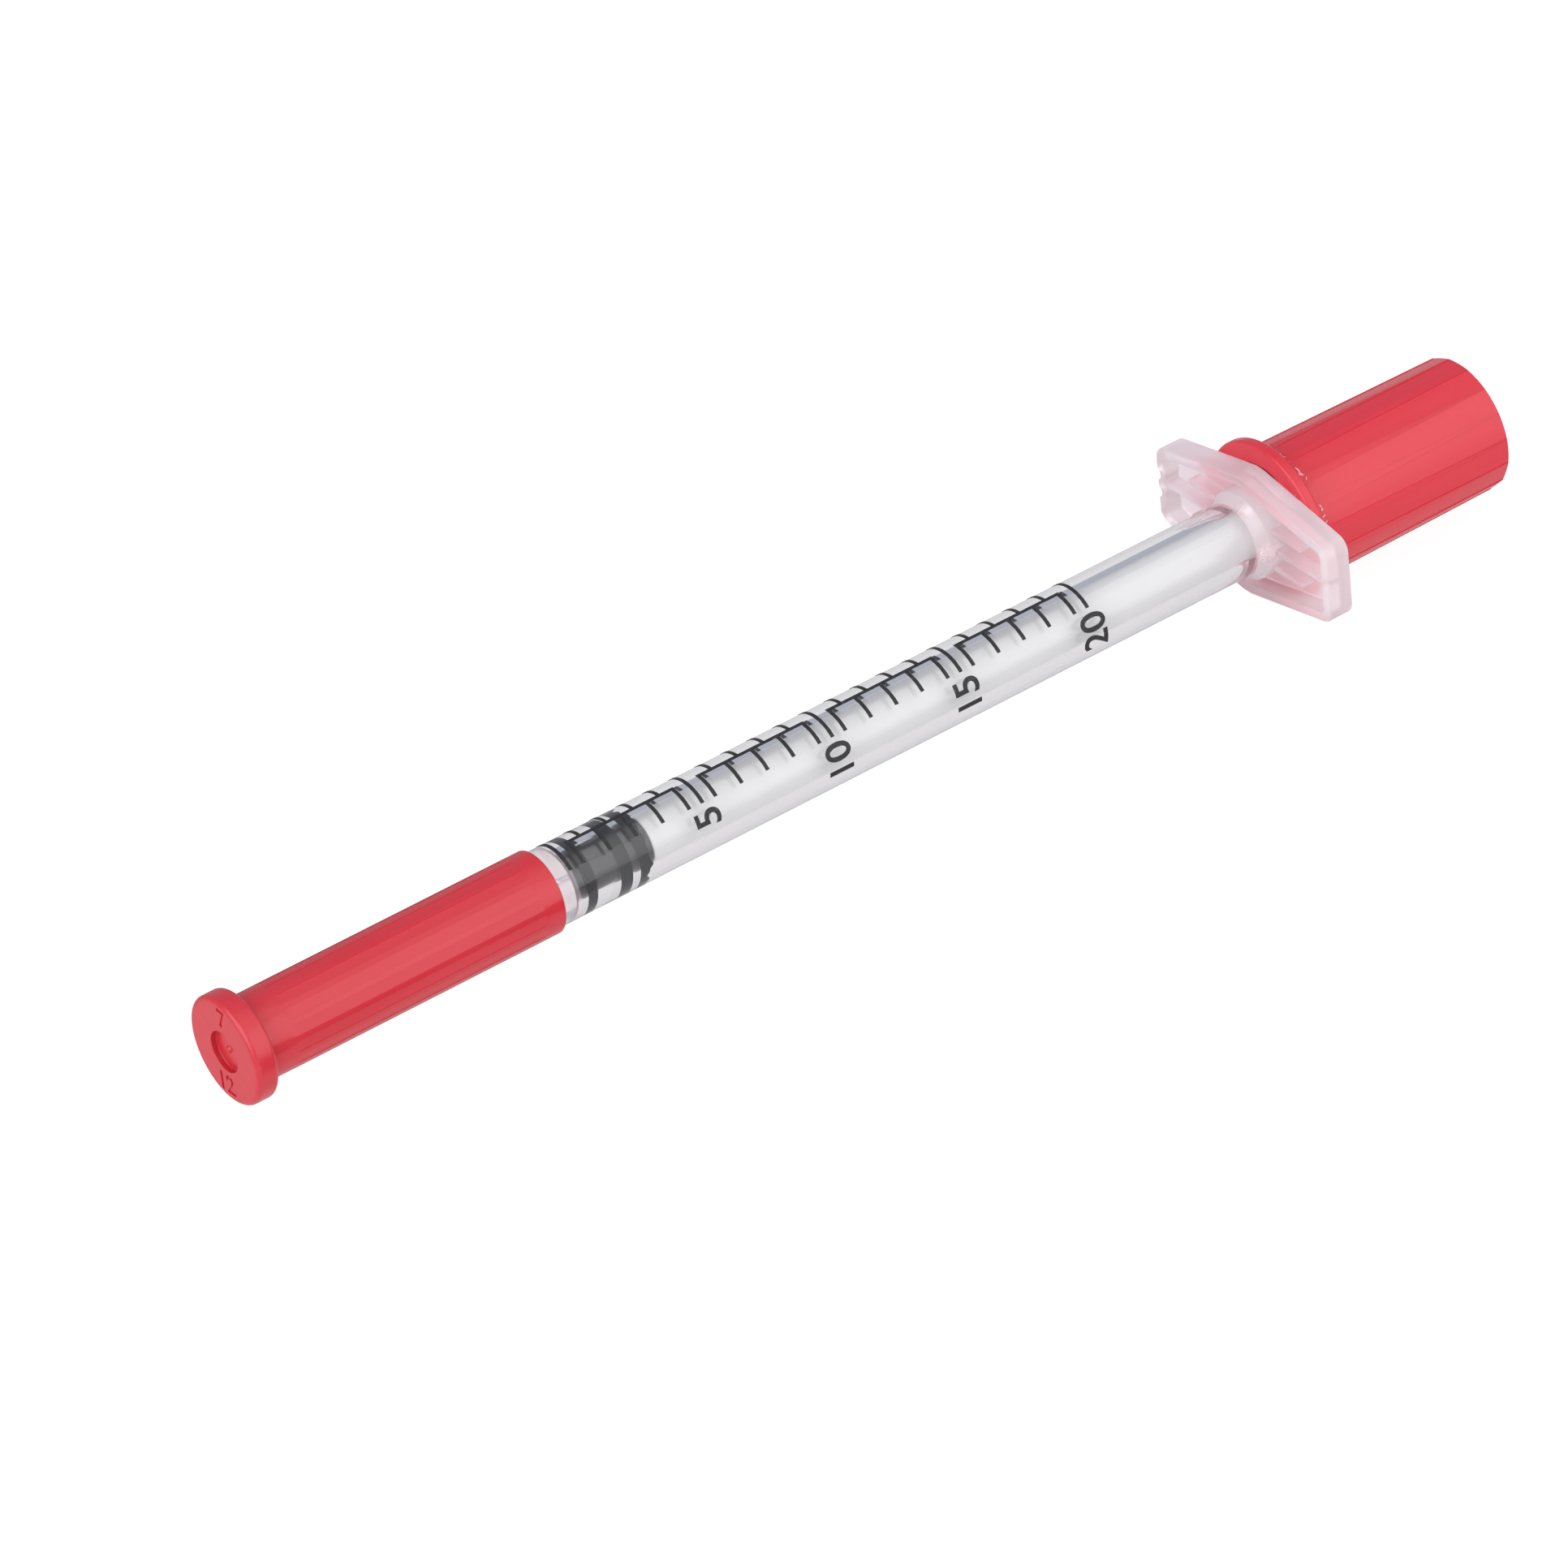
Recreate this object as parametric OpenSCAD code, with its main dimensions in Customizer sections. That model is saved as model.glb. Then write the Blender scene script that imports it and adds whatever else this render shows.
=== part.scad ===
// Insulin syringe with a fixed needle, a needle shield and a plunger cap.
// The syringe lies along X with its needle towards -X and its finger flange across Y.
// The origin is midway along it, on the surface that it lies on.

/* [Barrel] */
// Length of the printed scale, from its zero line to its last line
scale_len = 46; // [30:0.5:60]
// Diameter of the bore
bore_d = 3.72; // [3.4:0.02:4.4]
// Outside diameter of the barrel
barrel_d = 5.77; // [5.4:0.01:6.2]
// Length of the clear collar between the needle shield and the zero line
collar_len = 1.5; // [0.8:0.1:4]
// Length of barrel between the last scale line and the finger flange
rear_len = 15.7; // [8:0.1:30]
// Diameter of the nose that the needle shield is pushed on
nose_d = 5.0; // [4.4:0.05:5.3]
// Length of the nose
nose_len = 4.0; // [2:0.1:6]
// Diameter of the needle hub where it leaves the nose
hub_base_d = 3.2; // [2.6:0.1:3.4]
// Diameter of the needle hub at its tip
hub_tip_d = 2.0; // [1.8:0.1:2.4]
// Length of the needle hub
hub_len = 4.2; // [2:0.1:5]
// Diameter of the cup in the hub that holds the adhesive
cup_d = 1.2; // [0.8:0.05:1.4]
// Depth of that cup
cup_depth = 1.0; // [0.4:0.1:2]

/* [Finger flange] */
// Length of the finger flange from tip to tip
wing_span = 19.7; // [17:0.1:26]
// Width of the finger flange at its tips
tip_w = 6.3; // [4.6:0.1:7]
// Width of the finger flange at its middle
mid_w = 10.1; // [9:0.1:12]
// Thickness of the finger flange
flange_t = 2.1; // [1.6:0.1:4]
// Radius of the four corners at the tips
tip_r = 1.1; // [0.5:0.1:1.8]
// Radius of the two corners at the middle
mid_r = 3.5; // [1:0.1:4]
// Width of the rim around the recess in the front of the flange
rim_w = 0.85; // [0.5:0.05:1.2]
// Depth of that recess
recess_depth = 1.35; // [0.5:0.05:1.5]
// Diameter of the boss around the barrel
boss_d = 7.0; // [6.4:0.1:7.6]
// Length of the cone that leads from the barrel to the boss
boss_cone_len = 0.8; // [0.2:0.1:2]
// Thickness of the ribs in the recess
rib_t = 0.5; // [0.3:0.05:0.8]
// Distance between the ribs
rib_pitch = 1.55; // [1.1:0.05:2]
// Distance of the ribs' front edges below the rim
rib_drop = 0.25; // [0:0.05:1]
// Length of the two outer ribs beyond the boss
outer_rib_len = 2.9; // [1:0.1:3.4]
// Radius of the two notches in one tip
notch_r = 0.55; // [0.3:0.05:0.8]
// Depth of the two notches
notch_depth = 0.42; // [0.1:0.02:0.5]
// Distance between the two notches
notch_pitch = 1.5; // [1.2:0.1:2.4]

/* [Needle] */
// Outside diameter of the needle
needle_d = 0.33; // [0.25:0.01:0.5]
// Bore of the needle
needle_bore_d = 0.18; // [0.1:0.01:0.2]
// Length of needle that stands out of the hub
needle_reach = 12.7; // [6:0.1:14]
// Angle of the ground bevel to the needle's axis, in degrees
bevel_angle = 14; // [10:1:30]
// Length of the adhesive's slope up the needle
glue_rise = 0.35; // [0.1:0.05:1]

/* [Needle shield] */
// Length of the needle shield
shield_len = 26.85; // [25:0.05:40]
// Outside diameter of the shield's tube
shield_d = 6.41; // [6.3:0.01:7]
// Bore of the shield ahead of the nose
shield_bore_d = 3.8; // [3.6:0.1:4.2]
// Diameter of the flange at the shield's closed end
shield_flange_d = 8.36; // [7.2:0.02:10]
// Thickness of that flange
shield_flange_t = 1.8; // [1:0.1:3]
// Thickness of the shield's end wall
shield_end_t = 1.7; // [1.2:0.1:3]
// Rounding of the flange's rims
shield_flange_r = 0.4; // [0.1:0.05:0.45]
// Rounding of the shield's open rim
shield_rim_r = 0.3; // [0.1:0.05:0.5]
// Diameter of the shallow recess in the shield's end
shield_dimple_d = 3.2; // [2:0.1:5]
// Depth of that recess
shield_dimple_depth = 0.45; // [0.1:0.05:0.8]
// Diameter of the gate mark in that recess
gate_d = 0.6; // [0.3:0.1:1]
// Height of the gate mark
gate_h = 0.2; // [0.1:0.05:0.4]
// Length of the plain neck between the flange and the flats
shield_neck_len = 1.6; // [0.5:0.1:4]
// Length of plain tube between the flats and the open rim
shield_land_len = 1.0; // [0.4:0.1:4]

/* [Grip flats] */
// Number of flats around the shield and around the cap
flat_count = 16; // [8:1:24]
// Share of the way around that the flats take
flat_share = 0.69; // [0.4:0.01:0.9]
// Share of the way around that the flats take at the cap's closed end
cap_end_flat_share = 0.88; // [0.5:0.01:0.95]

/* [Stopper] */
// Length of the rubber stopper
stopper_len = 6.8; // [6.5:0.1:9]
// Diameter of the stopper between its rings
stopper_body_d = 3.46; // [3:0.02:3.6]
// Width of the front ring
front_ring_w = 0.95; // [0.5:0.05:1.2]
// Width of the middle ring
mid_ring_w = 1.15; // [0.5:0.05:1.3]
// Width of the rear ring
rear_ring_w = 1.05; // [0.5:0.05:1.1]
// Distance of the front ring from the stopper's face
front_ring_at = 0.8; // [0.2:0.05:1]
// Distance of the middle ring from the stopper's face
mid_ring_at = 3.65; // [2.4:0.05:3.8]
// Distance of the rear ring from the stopper's face
rear_ring_at = 5.35; // [5:0.05:5.4]

/* [Plunger rod] */
// Diameter of the round rod
rod_d = 3.5; // [2.8:0.02:3.6]
// Diameter of the neck inside the stopper
neck_d = 1.3; // [0.8:0.05:1.5]
// Length of the neck
neck_len = 1.6; // [1:0.1:2]
// Diameter of the head inside the stopper
head_d = 2.1; // [1.8:0.05:2.2]
// Length of the head
head_len = 1.5; // [1:0.1:1.8]
// Diameter of the thumb rest
thumb_d = 8.6; // [7:0.05:8.8]
// Thickness of the thumb rest
thumb_t = 1.4; // [0.8:0.1:3]
// Length of the flare between the rod and the thumb rest
flare_len = 1.6; // [0.5:0.1:3]
// Diameter of the flare at the thumb rest
flare_d = 5.6; // [4:0.1:7]
// Depth of the hollow in the thumb rest
thumb_hollow_depth = 0.4; // [0.1:0.05:0.7]
// Diameter of that hollow
thumb_hollow_d = 6.6; // [4:0.1:7]

/* [Plunger cap] */
// Length of the plunger cap
cap_len = 18.7; // [14:0.1:30]
// Diameter of the cap's tube at its flange
cap_base_d = 10.9; // [10.4:0.05:13]
// Diameter of the cap at its closed end
cap_end_d = 10.56; // [9.8:0.02:12.6]
// Diameter of the flange at the cap's open end
cap_flange_d = 13.0; // [12:0.1:16]
// Thickness of that flange
cap_flange_t = 0.9; // [0.6:0.05:2]
// Thickness of the cap's end wall
cap_end_t = 1.1; // [0.8:0.1:2.5]
// Rounding of the cap's closed end
cap_end_r = 0.35; // [0.1:0.05:0.6]
// Rounding of the rim of the cap's flange
cap_flange_r = 0.25; // [0.1:0.05:0.28]
// Length of plain tube between the cap's flange and its flats
cap_land_len = 0.5; // [0.2:0.1:3]
// Length of the lead-in at the cap's mouth
cap_lead = 0.6; // [0.2:0.1:1]

/* [Scale] */
// Number of units on the scale
unit_count = 20; // [10:5:40]
// Width of the printed lines
line_w = 0.3; // [0.15:0.01:0.5]
// Thickness of the ink
ink_t = 0.03; // [0.02:0.01:0.06]
// Angle that the lines reach to either side of the top, in degrees
line_angle = 43; // [20:1:80]

/* [Fits] */
// Clearance around the needle in its seat
seat_gap = 0.01; // [0.01:0.01:0.03]
// Clearance between the shield and the nose, in radius
shield_fit = 0.02; // [0.01:0.01:0.05]
// Clearance between the stopper's rings and the bore, in radius
ring_fit = 0.02; // [0.01:0.01:0.04]
// Clearance around the rod's head and neck in the stopper
snap_fit = 0.04; // [0.02:0.01:0.08]
// Clearance between the thumb rest and the cap, in radius
thumb_fit = 0.04; // [0.02:0.01:0.06]
// Gap between faces that meet when the syringe is closed
face_gap = 0.1; // [0.05:0.01:0.2]

/* [Hidden] */
$fn = 96;
// How far a cut runs past the face that it opens
over = 0.2;

// Units between two long lines
long_every = 5;
unit_len = scale_len / unit_count;

// Places along the axis, measured from the zero line
bore_front_x = 0;
shoulder_x = -collar_len;
nose_x = shoulder_x - nose_len;
hub_x = nose_x - hub_len;
needle_tip_x = hub_x - needle_reach;
shield_rim_x = shoulder_x - face_gap;
shield_end_x = shield_rim_x - shield_len;
stopper_x = bore_front_x + face_gap;
stopper_rear_x = stopper_x + stopper_len;
rod_front_x = stopper_rear_x + snap_fit;
flange_front_x = scale_len + rear_len;
flange_back_x = flange_front_x + flange_t;
cap_front_x = flange_back_x + face_gap;
cap_end_x = cap_front_x + cap_len;
cap_inner_x = cap_end_x - cap_end_t;
thumb_rear_x = cap_inner_x - face_gap;
thumb_front_x = thumb_rear_x - thumb_t;
mid_x = (shield_end_x + cap_end_x) / 2;

// Height of the axis: the cap's flange is the widest round piece and rests on the surface
axis_z = cap_flange_d / 2;

flat_pitch = 360 / flat_count;
flat_half_angle = flat_pitch * flat_share / 2;
cap_end_half_angle = flat_pitch * cap_end_flat_share / 2;
cap_draft = atan((cap_base_d - cap_end_d) / 2 / (cap_len - cap_flange_t));

// Puts what is drawn along +Z from zero onto the syringe's axis, from x towards the plunger.
// A part's own X then points down and its Y stays Y.
module on_axis(x) {
    translate([x - mid_x, 0, axis_z])
        rotate([0, 90, 0])
            children();
}

// A round bar along Z with rounded rims: r_low at its start and r_high at its end
module rounded_bar(d, len, r_low, r_high) {
    rotate_extrude()
        union() {
            translate([0, r_low])
                square([d / 2, len - r_low - r_high]);
            square([d / 2 - r_low, len]);
            translate([0, len - r_high])
                square([d / 2 - r_high, r_high]);
            if (r_low > 0)
                translate([d / 2 - r_low, r_low])
                    circle(r_low);
            if (r_high > 0)
                translate([d / 2 - r_high, len - r_high])
                    circle(r_high);
        }
}

// The boxes that cut grip flats into a tube of diameter d from z to z + len, with a draft
module grip_flats(d, z, len, draft) {
    cut_w = d * sin(flat_half_angle) * 1.5;
    for (i = [0 : flat_count - 1])
        rotate([0, 0, i * flat_pitch])
            translate([d / 2 * cos(flat_half_angle), -cut_w / 2, z])
                rotate([0, -draft, 0])
                    cube([d / 2, cut_w, len]);
}

function unit_vector(v) = v / norm(v);
function toward(points, i, step) =
    unit_vector(points[(i + step + len(points)) % len(points)] - points[i]);
function half_corner(points, i) = acos(toward(points, i, -1) * toward(points, i, 1)) / 2;

// A closed outline whose corners are true arcs of the radii given
module rounded_outline(points, radii) {
    polygon([
        for (i = [0 : len(points) - 1])
            for (step = [-1, 1])
                points[i] + toward(points, i, step) * radii[i] / tan(half_corner(points, i))
    ]);
    for (i = [0 : len(points) - 1])
        translate(points[i]
            + unit_vector(toward(points, i, -1) + toward(points, i, 1))
            * radii[i] / sin(half_corner(points, i)))
            circle(radii[i]);
}

// The outline of the finger flange, drawn in by a margin, with its length along Y
module wing_outline(margin) {
    side_slope = (mid_w - tip_w) / wing_span;
    side_margin = margin * sqrt(1 + side_slope * side_slope);
    half_mid = mid_w / 2 - side_margin;
    half_span = wing_span / 2 - margin;
    half_tip = half_mid - side_slope * half_span;
    tip_corner = max(tip_r - margin, tip_r / 4);
    mid_corner = max(mid_r - margin, mid_r / 4);
    rounded_outline(
        [
            [half_mid, 0], [half_tip, half_span], [-half_tip, half_span],
            [-half_mid, 0], [-half_tip, -half_span], [half_tip, -half_span]
        ],
        [mid_corner, tip_corner, tip_corner, mid_corner, tip_corner, tip_corner]
    );
}

module finger_flange() {
    floor_z = recess_depth;
    rib_reach = boss_d / 2 + outer_rib_len;
    difference() {
        linear_extrude(flange_t)
            wing_outline(0);
        translate([0, 0, -over])
            linear_extrude(recess_depth + over)
                wing_outline(rim_w);
        for (side = [-1, 1])
            translate([side * notch_pitch / 2, wing_span / 2 + notch_r - notch_depth, -over])
                cylinder(r = notch_r, h = flange_t + 2 * over);
    }
    // The middle ribs reach the rim, and the outer ones stop short of it
    translate([-rib_t / 2, -wing_span / 2 + rim_w / 2, rib_drop])
        cube([rib_t, wing_span - rim_w, floor_z]);
    for (side = [-1, 1])
        translate([side * rib_pitch - rib_t / 2, -rib_reach, rib_drop])
            cube([rib_t, 2 * rib_reach, floor_z]);
    cylinder(d = boss_d, h = flange_t);
    translate([0, 0, -boss_cone_len])
        cylinder(d1 = barrel_d, d2 = boss_d, h = boss_cone_len);
}

// One moulding of clear polypropylene: barrel, nose, needle hub and finger flange
module barrel() {
    color([0.9, 0.92, 0.94, 0.45])
        difference() {
            union() {
                on_axis(shoulder_x)
                    cylinder(d = barrel_d, h = flange_back_x - shoulder_x);
                on_axis(nose_x)
                    cylinder(d = nose_d, h = nose_len);
                on_axis(hub_x)
                    cylinder(d1 = hub_tip_d, d2 = hub_base_d, h = hub_len);
                on_axis(flange_front_x)
                    finger_flange();
            }
            on_axis(bore_front_x)
                cylinder(d = bore_d, h = flange_back_x + over);
            on_axis(hub_x - over)
                cylinder(d = needle_d + 2 * seat_gap, h = bore_front_x - hub_x + 2 * over);
            on_axis(hub_x - over)
                cylinder(d = cup_d, h = cup_depth + over);
        }
}

// Thin steel tube, ground to a bevelled point and staked into the hub
module needle() {
    cut_len = needle_d / tan(bevel_angle) + over;
    color([0.78, 0.79, 0.8])
        on_axis(needle_tip_x)
            difference() {
                cylinder(d = needle_d, h = bore_front_x - needle_tip_x);
                translate([0, 0, -over])
                    cylinder(d = needle_bore_d, h = bore_front_x - needle_tip_x + 2 * over);
                translate([needle_d / 2, -needle_d, 0])
                    rotate([0, -bevel_angle, 0])
                        translate([0, 0, -over])
                            mirror([1, 0, 0])
                                cube([needle_d * 3, needle_d * 2, cut_len * 2]);
            }
}

// Bead of cured adhesive in the hub's cup, sloping up the needle
module needle_adhesive() {
    inner_r = needle_d / 2 + seat_gap;
    outer_r = cup_d / 2 - seat_gap;
    color([0.86, 0.84, 0.72, 0.7])
        on_axis(hub_x)
            rotate_extrude()
                polygon([
                    [inner_r, -glue_rise],
                    [outer_r, 0],
                    [outer_r, cup_depth - seat_gap],
                    [inner_r, cup_depth - seat_gap]
                ]);
}

// The scale as seen from above: x runs along the barrel, and y across it.
// Long lines stand every five units, and between them a comb of unit and half-unit lines.
module scale_lines() {
    reach = barrel_d / 2 * sin(line_angle);
    for (u = [0 : long_every : unit_count])
        translate([u * unit_len - line_w / 2, -reach])
            square([line_w, 2 * reach]);
    for (u = [0 : long_every : unit_count - long_every]) {
        comb_x = (u + 0.5) * unit_len - line_w / 2;
        translate([comb_x, -line_w / 2])
            square([(long_every - 1) * unit_len + line_w, line_w]);
        for (k = [0 : long_every - 1])
            translate([comb_x + k * unit_len, -reach])
                square([line_w, reach]);
        for (k = [1 : long_every - 1])
            translate([comb_x + (k - 0.5) * unit_len, 0])
                square([line_w, reach]);
    }
}

// The printed scale: a skin of ink on the top of the barrel
module scale_print() {
    color([0.13, 0.12, 0.13])
        intersection() {
            on_axis(-line_w)
                difference() {
                    cylinder(d = barrel_d + 2 * ink_t, h = scale_len + 2 * line_w);
                    translate([0, 0, -over])
                        cylinder(d = barrel_d, h = scale_len + 2 * (line_w + over));
                }
            translate([-mid_x, 0, axis_z])
                linear_extrude(barrel_d)
                    scale_lines();
        }
}

// Cap of polyethylene over the needle, pushed onto the barrel's nose
module needle_shield() {
    inner_len = shield_len - shield_end_t;
    mouth_len = nose_len + face_gap;
    flats_from = shield_flange_t + shield_neck_len;
    color([0.83, 0.27, 0.31])
        on_axis(shield_end_x)
            difference() {
                union() {
                    difference() {
                        rounded_bar(shield_d, shield_len, 0, shield_rim_r);
                        grip_flats(shield_d, flats_from,
                            shield_len - flats_from - shield_land_len, 0);
                    }
                    rounded_bar(shield_flange_d, shield_flange_t, shield_flange_r, shield_flange_r);
                }
                translate([0, 0, shield_end_t])
                    cylinder(d = shield_bore_d, h = inner_len + over);
                translate([0, 0, shield_len - mouth_len])
                    cylinder(d = nose_d + 2 * shield_fit, h = mouth_len + over);
                difference() {
                    translate([0, 0, -over])
                        cylinder(d = shield_dimple_d, h = shield_dimple_depth + over);
                    translate([0, 0, shield_dimple_depth - gate_h])
                        cylinder(d = gate_d, h = gate_h + over);
                }
            }
}

// A sealing ring of the stopper, with sloping flanks
module stopper_ring(z, w) {
    ring_d = bore_d - 2 * ring_fit;
    flank = (ring_d - stopper_body_d) / 2;
    translate([0, 0, z])
        rotate_extrude()
            polygon([
                [0, 0],
                [stopper_body_d / 2, 0],
                [ring_d / 2, flank],
                [ring_d / 2, w - flank],
                [stopper_body_d / 2, w],
                [0, w]
            ]);
}

// Rubber stopper with three sealing rings, snapped over the head of the rod
module stopper() {
    head_front = stopper_len - neck_len - head_len;
    color([0.16, 0.16, 0.18])
        on_axis(stopper_x)
            difference() {
                union() {
                    cylinder(d = stopper_body_d, h = stopper_len);
                    stopper_ring(front_ring_at, front_ring_w);
                    stopper_ring(mid_ring_at, mid_ring_w);
                    stopper_ring(rear_ring_at, rear_ring_w);
                }
                translate([0, 0, head_front - snap_fit])
                    cylinder(d = head_d + 2 * snap_fit, h = head_len + 2 * snap_fit);
                translate([0, 0, head_front])
                    cylinder(d = neck_d + 2 * snap_fit, h = stopper_len);
            }
}

// Round rod of white polypropylene with a snap head and a thumb rest
module plunger_rod() {
    head_x = stopper_rear_x - neck_len - head_len;
    color([0.95, 0.95, 0.94]) {
        on_axis(head_x)
            cylinder(d1 = neck_d, d2 = head_d, h = head_len / 2);
        on_axis(head_x + head_len / 2)
            cylinder(d = head_d, h = head_len / 2);
        on_axis(head_x + head_len)
            cylinder(d = neck_d, h = rod_front_x - head_x - head_len);
        on_axis(rod_front_x)
            cylinder(d = rod_d, h = thumb_front_x - rod_front_x);
        on_axis(thumb_front_x - flare_len)
            cylinder(d1 = rod_d, d2 = flare_d, h = flare_len);
        on_axis(thumb_front_x)
            difference() {
                cylinder(d = thumb_d, h = thumb_t);
                translate([0, 0, thumb_t - thumb_hollow_depth])
                    cylinder(d = thumb_hollow_d, h = thumb_hollow_depth + over);
            }
    }
}

// Cap of polyethylene over the thumb rest, held by it and flush with the finger flange
module plunger_cap() {
    tube_len = cap_len - cap_flange_t;
    flats_from = cap_flange_t + cap_land_len;
    flats_d = cap_base_d - 2 * cap_land_len * tan(cap_draft);
    // The flats lean in a little more than the tube, so that they widen towards the closed end
    flats_fall = (flats_d * cos(flat_half_angle) - cap_end_d * cos(cap_end_half_angle)) / 2;
    flats_draft = atan(flats_fall / (cap_len - flats_from));
    cavity_d = thumb_d + 2 * thumb_fit;
    color([0.83, 0.27, 0.31])
        on_axis(cap_front_x)
            difference() {
                union() {
                    difference() {
                        intersection() {
                            translate([0, 0, cap_flange_t])
                                cylinder(d1 = cap_base_d, d2 = cap_end_d, h = tube_len);
                            rounded_bar(cap_end_d + 2 * cap_end_r, cap_len, 0, 2 * cap_end_r);
                        }
                        grip_flats(flats_d, flats_from, cap_len, flats_draft);
                    }
                    rounded_bar(cap_flange_d, cap_flange_t, cap_flange_r, cap_flange_r);
                }
                translate([0, 0, -over])
                    cylinder(d = cavity_d, h = cap_len - cap_end_t + over);
                translate([0, 0, -over])
                    cylinder(d1 = cavity_d + 2 * cap_lead, d2 = cavity_d, h = cap_lead + over);
            }
}

barrel();
needle();
needle_adhesive();
scale_print();
needle_shield();
stopper();
plunger_rod();
plunger_cap();
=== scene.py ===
import math

import bpy
from mathutils import Matrix, Vector, noise


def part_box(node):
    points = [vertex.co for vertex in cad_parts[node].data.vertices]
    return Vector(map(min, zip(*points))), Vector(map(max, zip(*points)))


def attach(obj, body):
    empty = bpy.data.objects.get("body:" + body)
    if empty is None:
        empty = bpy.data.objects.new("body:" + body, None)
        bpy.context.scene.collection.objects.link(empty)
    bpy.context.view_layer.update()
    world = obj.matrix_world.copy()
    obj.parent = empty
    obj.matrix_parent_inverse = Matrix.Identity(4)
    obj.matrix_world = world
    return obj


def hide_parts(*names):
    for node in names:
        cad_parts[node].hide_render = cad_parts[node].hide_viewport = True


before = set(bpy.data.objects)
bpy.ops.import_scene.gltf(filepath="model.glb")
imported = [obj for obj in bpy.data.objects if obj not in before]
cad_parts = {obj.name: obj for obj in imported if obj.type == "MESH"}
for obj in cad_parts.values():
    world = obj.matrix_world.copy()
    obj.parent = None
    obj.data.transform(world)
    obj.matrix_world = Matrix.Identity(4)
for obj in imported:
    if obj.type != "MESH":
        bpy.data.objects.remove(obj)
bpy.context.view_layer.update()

# Studio. The syringe lies on a white table in a pale room that is brightest before it on the right,
# where a softbox hangs; a fill light stands on the left. Two cards, which only reflections show, give
# the shield its dark stripe and keep its upper edge dark.
# Lengths are in millimetres, but for the table's and the softboxes', which are in metres.
MM = 0.001
TABLE_SIZE = 6.0
TABLE_WHITE = (0.93, 0.93, 0.93, 1)
TABLE_ROUGHNESS = 0.9
TABLE_SHOWN = (1.1, 1.1, 1.1, 1)
# Painted shade: reflections see the evenly white table as a darker grey, and clear plastic shows it through
# in a lilac grey.
TABLE_REFLECTED_SHADE = (0.58, 0.58, 0.58, 1)
TABLE_SEEN_THROUGH_SHADE = (0.73, 0.71, 0.725, 1)
SHOWN_SHARE = 0.85
ROOM_DARK = (0.39, 0.41, 0.465, 1)
ROOM_BRIGHT = (0.98, 0.97, 0.97, 1)
ROOM_BRIGHT_AZIMUTH = 32
ROOM_BRIGHT_ELEVATION = 40
ROOM_BRIGHT_REACH = (0.5, 0.95)
SOFTBOXES = [
    # name, azimuth, elevation, distance, width, height, brightness against plain white, reflected
    ("softbox_key", 34, 25, 0.75, 1.1, 0.7, 0.74, True),
    ("softbox_fill", -80, 30, 0.9, 1.2, 1.0, 2.1, True),
    ("softbox_top", 80, 68, 1.0, 0.7, 0.7, 1.1, False),
]
CARDS = [
    # name, y, lowest and highest x, lowest and highest z, grey
    ("black_card", -12, (-53, -21), (1.2, 7.1), 0.01),
    ("grey_card", 14, (-60, -18), (0.2, 10.0), 0.35),
]
CAMERA_AZIMUTH = -33.22
CAMERA_ELEVATION = 34.59
CAMERA_ROLL = -6.565
CAMERA_LENS = 242.24
CAMERA_DISTANCE = 748
CAMERA_NEAR = 10
SIGHT_FROM_ZERO = 23.0
SIGHT_RIGHT = 2.467
SIGHT_UP = 2.40


def box_mm(node):
    """Lowest and highest corner of a CAD node, in millimetres."""
    low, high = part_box(node)
    return low / MM, high / MM


def direction(azimuth, elevation):
    """The way from the object to a lamp or camera at that azimuth and elevation, in degrees."""
    a, e = math.radians(azimuth), math.radians(elevation)
    return Vector((math.sin(a) * math.cos(e), -math.cos(a) * math.cos(e), math.sin(e)))


def point_back(thing, back, roll=0.0):
    """Turns a lamp or camera to look against back, and rolls it by degrees."""
    turn = (-back).to_track_quat("-Z", "Y").to_matrix() @ Matrix.Rotation(math.radians(roll), 3, "Z")
    thing.rotation_euler = turn.to_euler()
    return turn


def calculation(nodes, kind, operation, second=None):
    """Adds a Math or Vector Math node, with its second input set where that never changes."""
    node = nodes.new(kind)
    node.operation = operation
    if second is not None:
        node.inputs[1].default_value = second
    return node


def mixed_colour(nodes, links, amount, one, other):
    """Mixes two colours, each a value or a node's output, by an amount, and returns the output."""
    mix = nodes.new("ShaderNodeMix")
    mix.data_type = "RGBA"
    for label, colour in (("A", one), ("B", other)):
        if isinstance(colour, bpy.types.NodeSocket):
            links.new(colour, mix.inputs[label])
        else:
            mix.inputs[label].default_value = colour
    links.new(amount, mix.inputs["Factor"])
    return mix.outputs["Result"]


cap_low, cap_high = box_mm("plunger_cap")
needle_low, needle_high = box_mm("needle")
AXIS_Z = (cap_low.z + cap_high.z) / 2
ZERO_X = needle_high.x

back = direction(CAMERA_AZIMUTH, CAMERA_ELEVATION)
lens = bpy.data.cameras.new("camera")
lens.lens = CAMERA_LENS
lens.clip_start = CAMERA_NEAR * MM
camera = bpy.data.objects.new("camera", lens)
bpy.context.scene.collection.objects.link(camera)
turn = point_back(camera, back, CAMERA_ROLL)
sight = Vector((ZERO_X + SIGHT_FROM_ZERO, 0, AXIS_Z))
camera.location = (sight + back * CAMERA_DISTANCE - turn.col[0] * SIGHT_RIGHT - turn.col[1] * SIGHT_UP) * MM
bpy.context.scene.camera = camera

for name, azimuth, elevation, distance, width, height, brightness, reflected in SOFTBOXES:
    panel = bpy.data.lights.new(name, "AREA")
    panel.shape = "RECTANGLE"
    panel.size, panel.size_y = width, height
    panel.energy = brightness * width * height * math.pi
    softbox = bpy.data.objects.new(name, panel)
    bpy.context.scene.collection.objects.link(softbox)
    softbox.location = direction(azimuth, elevation) * distance
    point_back(softbox, direction(azimuth, elevation))
    softbox.visible_camera = False
    softbox.visible_glossy = reflected

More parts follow.
